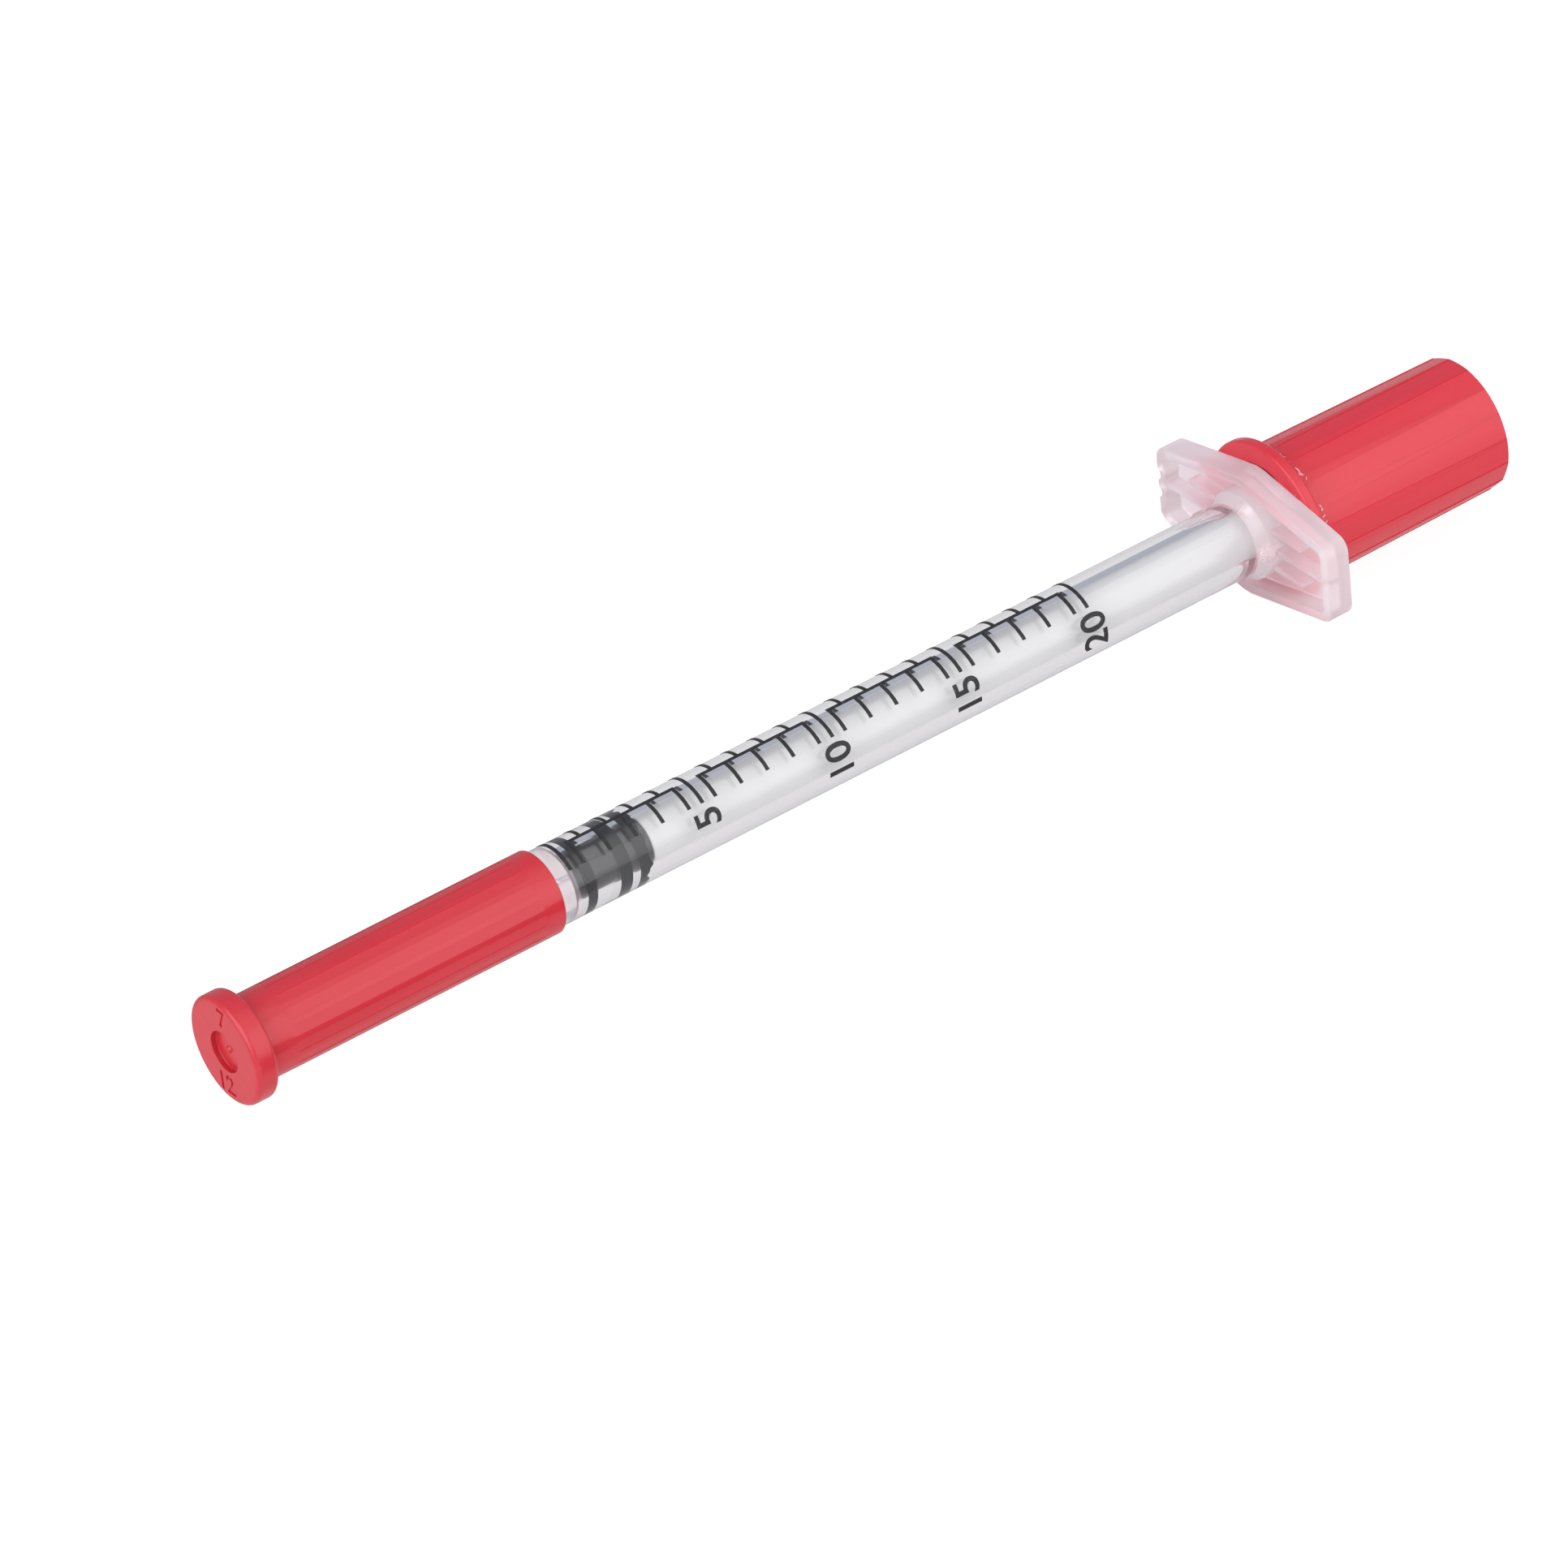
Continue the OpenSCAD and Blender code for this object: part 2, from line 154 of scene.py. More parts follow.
room = bpy.data.worlds.new("room")
room.use_nodes = True
bpy.context.scene.world = room
room_nodes, room_links = room.node_tree.nodes, room.node_tree.links
way = room_nodes.new("ShaderNodeTexCoord")
bright_way = direction(ROOM_BRIGHT_AZIMUTH, ROOM_BRIGHT_ELEVATION)
facing = calculation(room_nodes, "ShaderNodeVectorMath", "DOT_PRODUCT", bright_way)
fall = room_nodes.new("ShaderNodeMapRange")
fall.interpolation_type = "SMOOTHSTEP"
fall.inputs["From Min"].default_value, fall.inputs["From Max"].default_value = ROOM_BRIGHT_REACH
shade = mixed_colour(room_nodes, room_links, fall.outputs["Result"], ROOM_DARK, ROOM_BRIGHT)
room_links.new(way.outputs["Generated"], facing.inputs[0])
room_links.new(facing.outputs["Value"], fall.inputs["Value"])
room_links.new(shade, room_nodes["Background"].inputs["Color"])

bpy.ops.object.select_all(action="DESELECT")
bpy.ops.mesh.primitive_plane_add(size=TABLE_SIZE, location=(0, 0, 0))
table = bpy.context.object
table.name = table.data.name = "table"
white = bpy.data.materials.new("table_white")
white.use_nodes = True
nodes, links = white.node_tree.nodes, white.node_tree.links
nodes["Principled BSDF"].inputs["Base Color"].default_value = TABLE_WHITE
nodes["Principled BSDF"].inputs["Roughness"].default_value = TABLE_ROUGHNESS
nodes["Principled BSDF"].inputs["Specular IOR Level"].default_value = 0.0
glow = nodes.new("ShaderNodeEmission")
path = nodes.new("ShaderNodeLightPath")
seen = calculation(nodes, "ShaderNodeMath", "MAXIMUM")
seen_through = calculation(nodes, "ShaderNodeMath", "MAXIMUM")
share = calculation(nodes, "ShaderNodeMath", "MULTIPLY", SHOWN_SHARE)
blend = nodes.new("ShaderNodeMixShader")
# Painted shade in the table's reflections and in what clear plastic shows of it.
mirrored = mixed_colour(nodes, links, path.outputs["Is Glossy Ray"], TABLE_SHOWN, TABLE_REFLECTED_SHADE)
shown = mixed_colour(nodes, links, path.outputs["Is Transmission Ray"], mirrored, TABLE_SEEN_THROUGH_SHADE)
links.new(shown, glow.inputs["Color"])
links.new(path.outputs["Is Camera Ray"], seen.inputs[0])
links.new(path.outputs["Is Glossy Ray"], seen.inputs[1])
links.new(seen.outputs[0], seen_through.inputs[0])
links.new(path.outputs["Is Transmission Ray"], seen_through.inputs[1])
links.new(seen_through.outputs[0], share.inputs[0])
links.new(share.outputs[0], blend.inputs["Fac"])
links.new(nodes["Principled BSDF"].outputs["BSDF"], blend.inputs[1])
links.new(glow.outputs["Emission"], blend.inputs[2])
links.new(blend.outputs["Shader"], nodes["Material Output"].inputs["Surface"])
table.data.materials.append(white)

for name, card_y, card_x, card_z, grey in CARDS:
    bpy.ops.mesh.primitive_plane_add(size=1, location=(0, 0, 0), rotation=(math.pi / 2, 0, 0))
    card = bpy.context.object
    card.name = card.data.name = name
    bpy.ops.object.transform_apply(location=True, rotation=True, scale=True)
    card.data.transform(Matrix.Diagonal((card_x[1] - card_x[0], 1, card_z[1] - card_z[0], 1)))
    card.data.transform(Matrix.Translation((sum(card_x) / 2, card_y, sum(card_z) / 2)))
    card.data.transform(Matrix.Scale(MM, 4))
    board = bpy.data.materials.new(name)
    board.use_nodes = True
    board.node_tree.nodes["Principled BSDF"].inputs["Base Color"].default_value = (grey, grey, grey, 1)
    board.node_tree.nodes["Principled BSDF"].inputs["Specular IOR Level"].default_value = 0.0
    card.data.materials.append(board)
    card.visible_camera = False
    card.visible_diffuse = False
    card.visible_transmission = False
    card.visible_shadow = False

# Barrel. One moulding of clear polypropylene: needle hub, nose, collar, tube, boss and a six-sided
# finger flange, which is textured in the mould and so frosted. Everything else is held by it.
AROUND = 160
WELD = 0.002
POLE = 0.0005
SMOOTH_ANGLE = 32

barrel_low, barrel_high = box_mm("barrel")
shield_low, shield_high = box_mm("needle_shield")
HUB_X = barrel_low.x
FLANGE_BACK_X = barrel_high.x
FACE_GAP = 0.1
FACE_GAP_SHOWN = 0.04
SHOULDER_X = shield_high.x + FACE_GAP
BARREL_R = 5.77 / 2
BORE_R = 3.72 / 2
NOSE_R = 5.0 / 2
NOSE_LEN = 4.0
HUB_BASE_R = 3.2 / 2
HUB_TIP_R = 2.0 / 2
CUP_R = 1.2 / 2
CUP_DEPTH = 1.0
NEEDLE_SEAT_R = 0.35 / 2
BOSS_R = 7.0 / 2
BOSS_CONE_LEN = 0.8
FLANGE_T = 2.1
FLANGE_FRONT_X = FLANGE_BACK_X - FLANGE_T
TIP_W = 6.3
MID_W = 10.1
TIP_CORNER_R = 1.1
MID_CORNER_R = 3.5
RIM_W = 0.85
RECESS_DEPTH = 1.35
RIB_T = 0.5
RIB_PITCH = 1.55
RIB_DROP = 0.25
OUTER_RIB_LEN = 2.9
OUTER_RIB_START = 0.8
NOTCH_R = 0.55
NOTCH_DEPTH = 0.42
NOTCH_PITCH = 1.5
MOULD_ROUND = 0.16
SINK = 0.3
CORNER_STEPS = 8
EDGE_ANGLE = 50
NOTCH_AROUND = 48
CLEAR_COLOUR = (0.985, 0.985, 0.995, 1)
CLEAR_PASSES = (0.94, 0.94, 0.95, 1)
FROST_PASSES = (0.97, 0.96, 0.965, 1)
# Painted light: the pink in these colours stands in for red light from the caps, strongest near the axis.
FROST_PAINTED_PINK_FAR = (0.91, 0.84, 0.86, 1)
FROST_PAINTED_PINK_NEAR = (0.95, 0.76, 0.80, 1)
HAZE_FAR = (0.98, 0.96, 0.97, 1)
HAZE_PAINTED_PINK_NEAR = (0.98, 0.90, 0.92, 1)
MIST_PAINTED_PINK_NEAR = (0.97, 0.86, 0.885, 1)
FADE_FROM = 5.5
FADE_TO = 10.5
PLASTIC_IOR = 1.49
# Every grain and noise scale counts per metre, as the finished pieces do.
FLOW_SCALE = 900.0
FLOW_STRETCH = (0.08, 1.0, 1.0)
GRAIN_HEIGHT = 0.02
FLOW_HEIGHT = 0.04


def arc(x, r, size, start, end, steps=6):
    """Points of a round stretch of a profile about (x, r), in degrees: 0 is +X and 90 is outwards."""
    angles = [math.radians(start + (end - start) * i / steps) for i in range(steps + 1)]
    return [(x + size * math.cos(a), r + size * math.sin(a)) for a in angles]


def turned(name, profile, around=AROUND):
    """A round piece about the syringe's axis: one ring is drawn, then extruded along the axis and
    drawn in or out to each (x, radius) of the profile in turn."""
    x, radius = profile[0]
    radius = max(radius, POLE)
    bpy.ops.object.select_all(action="DESELECT")
    bpy.ops.mesh.primitive_circle_add(
        vertices=around, radius=radius, location=(x, 0, AXIS_Z), rotation=(0, math.pi / 2, 0)
    )
    piece = bpy.context.object
    piece.name = piece.data.name = name
    bpy.ops.object.transform_apply(location=True, rotation=True, scale=True)
    bpy.ops.object.mode_set(mode="EDIT")
    bpy.ops.mesh.select_mode(type="VERT")
    bpy.ops.mesh.select_all(action="SELECT")
    for next_x, next_radius in profile[1:]:
        next_radius = max(next_radius, POLE)
        grow = next_radius / radius
        bpy.ops.mesh.extrude_region_move(TRANSFORM_OT_translate={"value": (next_x - x, 0, 0)})
        bpy.ops.transform.resize(value=(1, grow, grow), center_override=(next_x, 0, AXIS_Z))
        x, radius = next_x, next_radius
    bpy.ops.mesh.select_all(action="SELECT")
    bpy.ops.mesh.remove_doubles(threshold=WELD)
    bpy.ops.mesh.normals_make_consistent(inside=False)
    bpy.ops.object.mode_set(mode="OBJECT")
    return piece


def apply_modifier(piece, kind, **settings):
    """Adds a modifier with these settings and applies it."""
    change = piece.modifiers.new(kind.lower(), kind)
    for key, value in settings.items():
        setattr(change, key, value)
    bpy.context.view_layer.objects.active = piece
    bpy.ops.object.modifier_apply(modifier=change.name)


def combine(piece, tool, operation):
    """Joins or cuts a piece with another, which is used up."""
    apply_modifier(piece, "BOOLEAN", object=tool, operation=operation, solver="EXACT")
    bpy.data.objects.remove(tool, do_unlink=True)


def pick(piece, kind, test):
    """In edit mode, selects the faces, edges or vertices whose middle passes a test."""
    bpy.ops.mesh.select_all(action="DESELECT")
    bpy.ops.mesh.select_mode(type=kind)
    bpy.ops.object.mode_set(mode="OBJECT")
    mesh = piece.data
    parts = {"VERT": mesh.vertices, "EDGE": mesh.edges, "FACE": mesh.polygons}[kind]
    for part in parts:
        if kind == "VERT":
            middle = part.co
        elif kind == "EDGE":
            middle = sum((mesh.vertices[v].co for v in part.vertices), Vector()) / 2
        else:
            middle = part.center
        part.select = test(middle)
    bpy.ops.object.mode_set(mode="EDIT")


def bar(name, low, high, rounding):
    """A straight bar between two corners with rounded edges."""
    low, high = Vector(low), Vector(high)
    bpy.ops.object.select_all(action="DESELECT")
    bpy.ops.mesh.primitive_cube_add(size=1, location=(low + high) / 2, scale=high - low)
    piece = bpy.context.object
    piece.name = piece.data.name = name
    bpy.ops.object.transform_apply(location=True, rotation=True, scale=True)
    apply_modifier(piece, "BEVEL", width=rounding, segments=3)
    return piece


def finish_piece(piece, body, nodes, finish=None):
    """Smooths a finished piece, brings it from millimetres to metres and fits it to the frame. A
    piece of one material all over is given it here."""
    bpy.ops.object.select_all(action="DESELECT")
    piece.select_set(True)
    bpy.context.view_layer.objects.active = piece
    bpy.ops.object.shade_smooth_by_angle(angle=math.radians(SMOOTH_ANGLE))
    apply_modifier(piece, "WEIGHTED_NORMAL", keep_sharp=True)
    piece.data.transform(Matrix.Scale(MM, 4))
    piece.data.update()
    if finish:
        piece.data.materials.append(finish)
    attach(piece, body)
    if nodes:
        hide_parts(*nodes)


def moulded_skin():
    """Shader group for a moulded surface: a grain, long flow lines along the axis and the bump and
    roughness that both give."""
    group = bpy.data.node_groups.new("moulded_skin", "ShaderNodeTree")
    face = group.interface
    face.new_socket("Vector", in_out="INPUT", socket_type="NodeSocketVector")
    for label, value in (
        ("Grain Scale", 2500.0), ("Grain Depth", 0.1), ("Flow Depth", 0.1),
        ("Roughness", 0.3), ("Roughness Spread", 0.1),
    ):
        socket = face.new_socket(label, in_out="INPUT", socket_type="NodeSocketFloat")
        socket.default_value = value
    face.new_socket("Roughness", in_out="OUTPUT", socket_type="NodeSocketFloat")
    face.new_socket("Flow", in_out="OUTPUT", socket_type="NodeSocketFloat")
    face.new_socket("Normal", in_out="OUTPUT", socket_type="NodeSocketVector")
    nodes, links = group.nodes, group.links
    given, out = nodes.new("NodeGroupInput"), nodes.new("NodeGroupOutput")
    grain = nodes.new("ShaderNodeTexNoise")
    grain.inputs["Detail"].default_value = 3.0
    stretch = nodes.new("ShaderNodeMapping")
    stretch.inputs["Scale"].default_value = FLOW_STRETCH
    flow = nodes.new("ShaderNodeTexNoise")
    flow.inputs["Scale"].default_value = FLOW_SCALE
    flow.inputs["Detail"].default_value = 4.0
    grain_bump, flow_bump = nodes.new("ShaderNodeBump"), nodes.new("ShaderNodeBump")
    for bump, height in ((grain_bump, GRAIN_HEIGHT), (flow_bump, FLOW_HEIGHT)):
        bump.inputs["Distance"].default_value = height * MM
    centre = calculation(nodes, "ShaderNodeMath", "SUBTRACT", 0.5)
    spread = calculation(nodes, "ShaderNodeMath", "MULTIPLY_ADD")
    links.new(given.outputs["Vector"], grain.inputs["Vector"])
    links.new(given.outputs["Grain Scale"], grain.inputs["Scale"])
    links.new(given.outputs["Vector"], stretch.inputs["Vector"])
    links.new(stretch.outputs["Vector"], flow.inputs["Vector"])
    links.new(given.outputs["Grain Depth"], grain_bump.inputs["Strength"])
    links.new(given.outputs["Flow Depth"], flow_bump.inputs["Strength"])
    links.new(grain.outputs["Fac"], grain_bump.inputs["Height"])
    links.new(flow.outputs["Fac"], flow_bump.inputs["Height"])
    links.new(grain_bump.outputs["Normal"], flow_bump.inputs["Normal"])
    links.new(flow.outputs["Fac"], centre.inputs[0])
    links.new(centre.outputs[0], spread.inputs[0])
    links.new(given.outputs["Roughness Spread"], spread.inputs[1])
    links.new(given.outputs["Roughness"], spread.inputs[2])
    links.new(spread.outputs[0], out.inputs["Roughness"])
    links.new(flow.outputs["Fac"], out.inputs["Flow"])
    links.new(flow_bump.outputs["Normal"], out.inputs["Normal"])
    return group


SKIN = moulded_skin()


def moulded(name, grain_scale, grain_depth, flow_depth, roughness, spread):
    """A material whose roughness and normal come from the moulded skin. Returns the material, its
    nodes, its links, its shader and the skin's node."""
    finish = bpy.data.materials.new(name)
    finish.use_nodes = True
    nodes, links = finish.node_tree.nodes, finish.node_tree.links
    shader = nodes["Principled BSDF"]
    place = nodes.new("ShaderNodeTexCoord")
    skin = nodes.new("ShaderNodeGroup")
    skin.node_tree = SKIN
    skin.inputs["Grain Scale"].default_value = grain_scale
    skin.inputs["Grain Depth"].default_value = grain_depth
    skin.inputs["Flow Depth"].default_value = flow_depth
    skin.inputs["Roughness"].default_value = roughness
    skin.inputs["Roughness Spread"].default_value = spread
    links.new(place.outputs["Object"], skin.inputs["Vector"])
    links.new(skin.outputs["Roughness"], shader.inputs["Roughness"])
    links.new(skin.outputs["Normal"], shader.inputs["Normal"])
    return finish, nodes, links, shader, skin


def let_light_in(nodes, links, shader, tint):
    """Lets lamps and diffuse light pass straight through a clear plastic to what lies behind it."""
    path = nodes.new("ShaderNodeLightPath")
    open_way = nodes.new("ShaderNodeBsdfTransparent")
    open_way.inputs["Color"].default_value = tint
    for_lamps, for_diffuse = nodes.new("ShaderNodeMixShader"), nodes.new("ShaderNodeMixShader")
    links.new(path.outputs["Is Shadow Ray"], for_lamps.inputs["Fac"])
    links.new(path.outputs["Is Diffuse Ray"], for_diffuse.inputs["Fac"])
    links.new(shader.outputs["BSDF"], for_lamps.inputs[1])
    links.new(open_way.outputs["BSDF"], for_lamps.inputs[2])
    links.new(for_lamps.outputs["Shader"], for_diffuse.inputs[1])
    links.new(open_way.outputs["BSDF"], for_diffuse.inputs[2])
    links.new(for_diffuse.outputs["Shader"], nodes["Material Output"].inputs["Surface"])


def clear_plastic():
    """Polished clear polypropylene."""
    finish, nodes, links, shader, skin = moulded(
        "clear_polypropylene", grain_scale=1500, grain_depth=0.002, flow_depth=0.003,
        roughness=0.022, spread=0.012,
    )
    shader.inputs["Base Color"].default_value = CLEAR_COLOUR
    shader.inputs["IOR"].default_value = PLASTIC_IOR
    shader.inputs["Transmission Weight"].default_value = 1.0
    let_light_in(nodes, links, shader, CLEAR_PASSES)
    return finish


def frosted_plastic(name, grain, roughness, transmission, painted_pink_near, far):
    """The same polypropylene where the mould is textured. Its colour holds painted pink, strongest near
    the syringe's axis, that stands in for the red light which the red caps scatter into it."""
    finish, nodes, links, shader, skin = moulded(
        name, grain_scale=6000, grain_depth=grain, flow_depth=0.15, roughness=roughness, spread=0.12
    )
    shader.inputs["IOR"].default_value = PLASTIC_IOR
    shader.inputs["Transmission Weight"].default_value = transmission
    centre = calculation(nodes, "ShaderNodeVectorMath", "SUBTRACT", (0, 0, AXIS_Z * MM))
    across = calculation(nodes, "ShaderNodeVectorMath", "MULTIPLY", (0, 1, 1))
    reach = calculation(nodes, "ShaderNodeVectorMath", "LENGTH")
    fade = nodes.new("ShaderNodeMapRange")
    fade.inputs["From Min"].default_value = FADE_FROM * MM
    fade.inputs["From Max"].default_value = FADE_TO * MM
    # Painted pink for the caps' red light, fading from near the axis to further out.
    colour = mixed_colour(nodes, links, fade.outputs["Result"], painted_pink_near, far)
    links.new(nodes["Texture Coordinate"].outputs["Object"], centre.inputs[0])
    links.new(centre.outputs["Vector"], across.inputs[0])
    links.new(across.outputs["Vector"], reach.inputs[0])
    links.new(reach.outputs["Value"], fade.inputs["Value"])
    links.new(colour, shader.inputs["Base Color"])
    let_light_in(nodes, links, shader, FROST_PASSES)
    return finish


def barrel_tube():
    """Hub, nose, collar, tube and boss, with the bore, the needle's passage and the adhesive's cup."""
    nose_x = SHOULDER_X - NOSE_LEN
    cone_x = FLANGE_FRONT_X - BOSS_CONE_LEN
    end_x = FLANGE_BACK_X
    round_r = MOULD_ROUND
    fillet = 2 * MOULD_ROUND
    profile = [(HUB_X + CUP_DEPTH, NEEDLE_SEAT_R), (HUB_X + CUP_DEPTH, CUP_R), (HUB_X, CUP_R)]
    profile += arc(HUB_X + round_r, HUB_TIP_R - round_r, round_r, 180, 90)
    profile += arc(nose_x - fillet, HUB_BASE_R + fillet, fillet, 270, 360)
    profile += arc(nose_x + round_r, NOSE_R - round_r, round_r, 180, 90)
    profile += [(SHOULDER_X, NOSE_R)]
    profile += arc(SHOULDER_X + round_r, BARREL_R - round_r, round_r, 180, 90)
    profile += [(ZERO_X, BARREL_R), (cone_x - round_r, BARREL_R), (cone_x, BARREL_R + round_r / 4)]
    profile += [(FLANGE_FRONT_X - round_r, BOSS_R - round_r / 4), (FLANGE_FRONT_X, BOSS_R)]
    profile += arc(end_x - round_r, BOSS_R - round_r, round_r, 90, 0)
    profile += arc(end_x - round_r, BORE_R + 2 * round_r, round_r, 0, -45, steps=3)
    profile += [(end_x - 3 * round_r, BORE_R), (ZERO_X + round_r, BORE_R)]
    profile += arc(ZERO_X + round_r, BORE_R - round_r, round_r, 90, 180)
    profile += [(ZERO_X, NEEDLE_SEAT_R), (HUB_X + CUP_DEPTH, NEEDLE_SEAT_R)]
    return turned("barrel_moulding", profile)


def flange_plate():
    """The six-sided plate with its recess and the hole for the boss."""
    span = barrel_high.y - barrel_low.y
    lean = math.atan2((MID_W - TIP_W) / 2, span / 2)
    bpy.ops.object.select_all(action="DESELECT")
    bpy.ops.mesh.primitive_grid_add(
        x_subdivisions=1, y_subdivisions=2, size=1,
        location=(FLANGE_FRONT_X, 0, AXIS_Z), rotation=(0, math.pi / 2, 0),
    )
    plate = bpy.context.object
    plate.name = "flange_plate"
    bpy.ops.object.transform_apply(location=True, rotation=True, scale=True)
    bpy.ops.object.mode_set(mode="EDIT")
    bpy.ops.mesh.select_all(action="SELECT")
    middle = (FLANGE_FRONT_X, 0, AXIS_Z)
    bpy.ops.transform.resize(value=(1, span, TIP_W), center_override=middle)
    pick(plate, "VERT", lambda p: abs(p.y) < WELD)
    bpy.ops.transform.resize(value=(1, 1, MID_W / TIP_W), center_override=middle)
    pick(plate, "EDGE", lambda p: abs(p.y) < WELD)
    bpy.ops.mesh.dissolve_edges(use_verts=False)
    half_tip_corner = (math.pi / 2 + lean) / 2
    pick(plate, "VERT", lambda p: abs(p.y) > span / 4)
    bpy.ops.mesh.bevel(
        offset=TIP_CORNER_R / math.tan(half_tip_corner), segments=CORNER_STEPS, affect="VERTICES"
    )
    pick(plate, "VERT", lambda p: abs(p.y) < WELD)
    bpy.ops.mesh.bevel(
        offset=MID_CORNER_R / math.tan(math.pi / 2 - lean), segments=CORNER_STEPS, affect="VERTICES"
    )
    bpy.ops.mesh.select_all(action="SELECT")
    bpy.ops.mesh.extrude_region_move(TRANSFORM_OT_translate={"value": (FLANGE_T, 0, 0)})
    bpy.ops.mesh.select_all(action="SELECT")
    bpy.ops.mesh.normals_make_consistent(inside=False)
    pick(plate, "FACE", lambda p: p.x < FLANGE_FRONT_X + WELD)
    bpy.ops.mesh.inset(thickness=RIM_W, depth=0)
    bpy.ops.mesh.extrude_region_move(TRANSFORM_OT_translate={"value": (RECESS_DEPTH, 0, 0)})
    bpy.ops.object.mode_set(mode="OBJECT")
    apply_modifier(
        plate, "BEVEL", width=MOULD_ROUND, segments=4, limit_method="ANGLE",
        angle_limit=math.radians(EDGE_ANGLE),
    )
    hole_r = (BOSS_R + BORE_R) / 2
    bpy.ops.mesh.primitive_cylinder_add(
        vertices=AROUND, radius=hole_r, depth=4 * FLANGE_T,
        location=(FLANGE_FRONT_X, 0, AXIS_Z), rotation=(0, math.pi / 2, 0),
    )
    combine(plate, bpy.context.object, "DIFFERENCE")
    for side in (-1, 1):
        notch = (FLANGE_FRONT_X, span / 2 + NOTCH_R - NOTCH_DEPTH, AXIS_Z + side * NOTCH_PITCH / 2)
        bpy.ops.mesh.primitive_cylinder_add(
            vertices=NOTCH_AROUND, radius=NOTCH_R, depth=4 * FLANGE_T,
            location=notch, rotation=(0, math.pi / 2, 0),
        )
        combine(plate, bpy.context.object, "DIFFERENCE")
    return plate


def flange_ribs():
    """Three ribs on each wing: the middle one reaches the rim and the outer ones stop short of it."""
    front_x = FLANGE_FRONT_X + RIB_DROP
    floor_x = FLANGE_FRONT_X + RECESS_DEPTH + SINK
    inner = BOSS_R - SINK
    ribs = []
    for side in (-1, 1):
        for place in (-1, 0, 1):
            reach = barrel_high.y - RIM_W / 2 if place == 0 else BOSS_R + OUTER_RIB_LEN
            z = AXIS_Z + place * RIB_PITCH
            ends = sorted((side * inner * (1 if place == 0 else OUTER_RIB_START), side * reach))
            ribs.append(bar(
                "rib", (front_x, ends[0], z - RIB_T / 2), (floor_x, ends[1], z + RIB_T / 2), RIB_T / 4
            ))
    return ribs


barrel = barrel_tube()
plate = flange_plate()
ribs = flange_ribs()
plastics = [
    clear_plastic(),
    # name, grain, roughness, transmission, colour with painted pink near the axis and colour far from it
    frosted_plastic("frosted_polypropylene", 0.32, 0.32, 0.75, FROST_PAINTED_PINK_NEAR, FROST_PAINTED_PINK_FAR),
    frosted_plastic("hazy_polypropylene", 0.08, 0.20, 0.86, HAZE_PAINTED_PINK_NEAR, HAZE_FAR),
    frosted_plastic("misted_polypropylene", 0.03, 0.28, 0.74, MIST_PAINTED_PINK_NEAR, HAZE_FAR),
]
CLEAR, FROSTED, HAZY, MISTED = range(len(plastics))
for moulding in [barrel, plate] + ribs:
    for plastic in plastics:
        moulding.data.materials.append(plastic)
    for face in moulding.data.polygons:
        on_boss = face.center.x > FLANGE_FRONT_X - BOSS_CONE_LEN - MOULD_ROUND
        on_collar = face.center.x < ZERO_X and (face.center.yz - Vector((0, AXIS_Z))).length > NOSE_R
        if moulding is barrel:
            face.material_index = MISTED if on_boss else HAZY if on_collar else CLEAR
        else:
            face.material_index = FROSTED
for rib in ribs:
    combine(plate, rib, "UNION")
combine(barrel, plate, "UNION")
finish_piece(barrel, "barrel", ["barrel"])

# Printed scale. Black ink, screen-printed on the barrel: a long line every five units, and between
# them a comb of unit and half-unit lines. Plain numbers stand beside the long lines.
UNITS = 20
LONG_EVERY = 5
UNIT_LEN = 2.3
LINE_W = 0.3
INK_T = 0.03
LINE_REACH = math.radians(43) * BARREL_R
PRINT_STEP = 0.09
RAGGED = 0.016
RAGGED_SCALE = 5.5
RAGGED_APART = Vector((0, 0, 9))
PINHOLE_SCALE = 9000.0
PINHOLE_EDGE = (0.60, 0.74)
NUMBER_SIZE = 2.95
NUMBER_BOLD = 0.045
NUMBER_EDGE = math.radians(50) * BARREL_R
INK_COLOUR = (0.012, 0.011, 0.012, 1)
INK_WORN = (0.10, 0.10, 0.105, 1)


def printed_line(x_low, x_high, y_low, y_high):
    """One flat line of artwork in the picture plane, finely divided so that it can be wrapped."""
    width, length = x_high - x_low, y_high - y_low
    bpy.ops.object.select_all(action="DESELECT")
    bpy.ops.mesh.primitive_grid_add(
        x_subdivisions=max(2, round(width / PRINT_STEP)), y_subdivisions=max(2, round(length / PRINT_STEP)),
        size=1, location=((x_low + x_high) / 2, (y_low + y_high) / 2, 0),
    )
    bpy.ops.transform.resize(value=(width, length, 1))
    bpy.ops.object.transform_apply(location=True, rotation=True, scale=True)
    return bpy.context.object


def plain_number(text, size, bold, align, depth=0.0):
    """A plain number as a mesh in the picture plane."""
    bpy.ops.object.select_all(action="DESELECT")
    bpy.ops.object.text_add(location=(0, 0, 0))
    number = bpy.context.object.data
    number.body = text
    number.size = size
    number.offset = bold
    number.extrude = depth
    number.align_x, number.align_y = align, "CENTER"
    bpy.ops.object.convert(target="MESH")
    return bpy.context.object


def printed_number(text, x):
    """A number as flat artwork, read from the barrel's side towards the scale."""
    number = plain_number(text, NUMBER_SIZE, NUMBER_BOLD, "RIGHT")
    number.data.transform(Matrix.Rotation(math.pi / 2, 4, "Z"))
    number.data.transform(Matrix.Translation((x, -NUMBER_EDGE, 0)))
    ys = [v.co.y for v in number.data.vertices]
    bpy.ops.object.mode_set(mode="EDIT")
    y = min(ys) + PRINT_STEP
    while y < max(ys):
        bpy.ops.mesh.select_all(action="SELECT")
        bpy.ops.mesh.bisect(plane_co=(0, y, 0), plane_no=(0, 1, 0))
        y += PRINT_STEP
    bpy.ops.object.mode_set(mode="OBJECT")
    return number


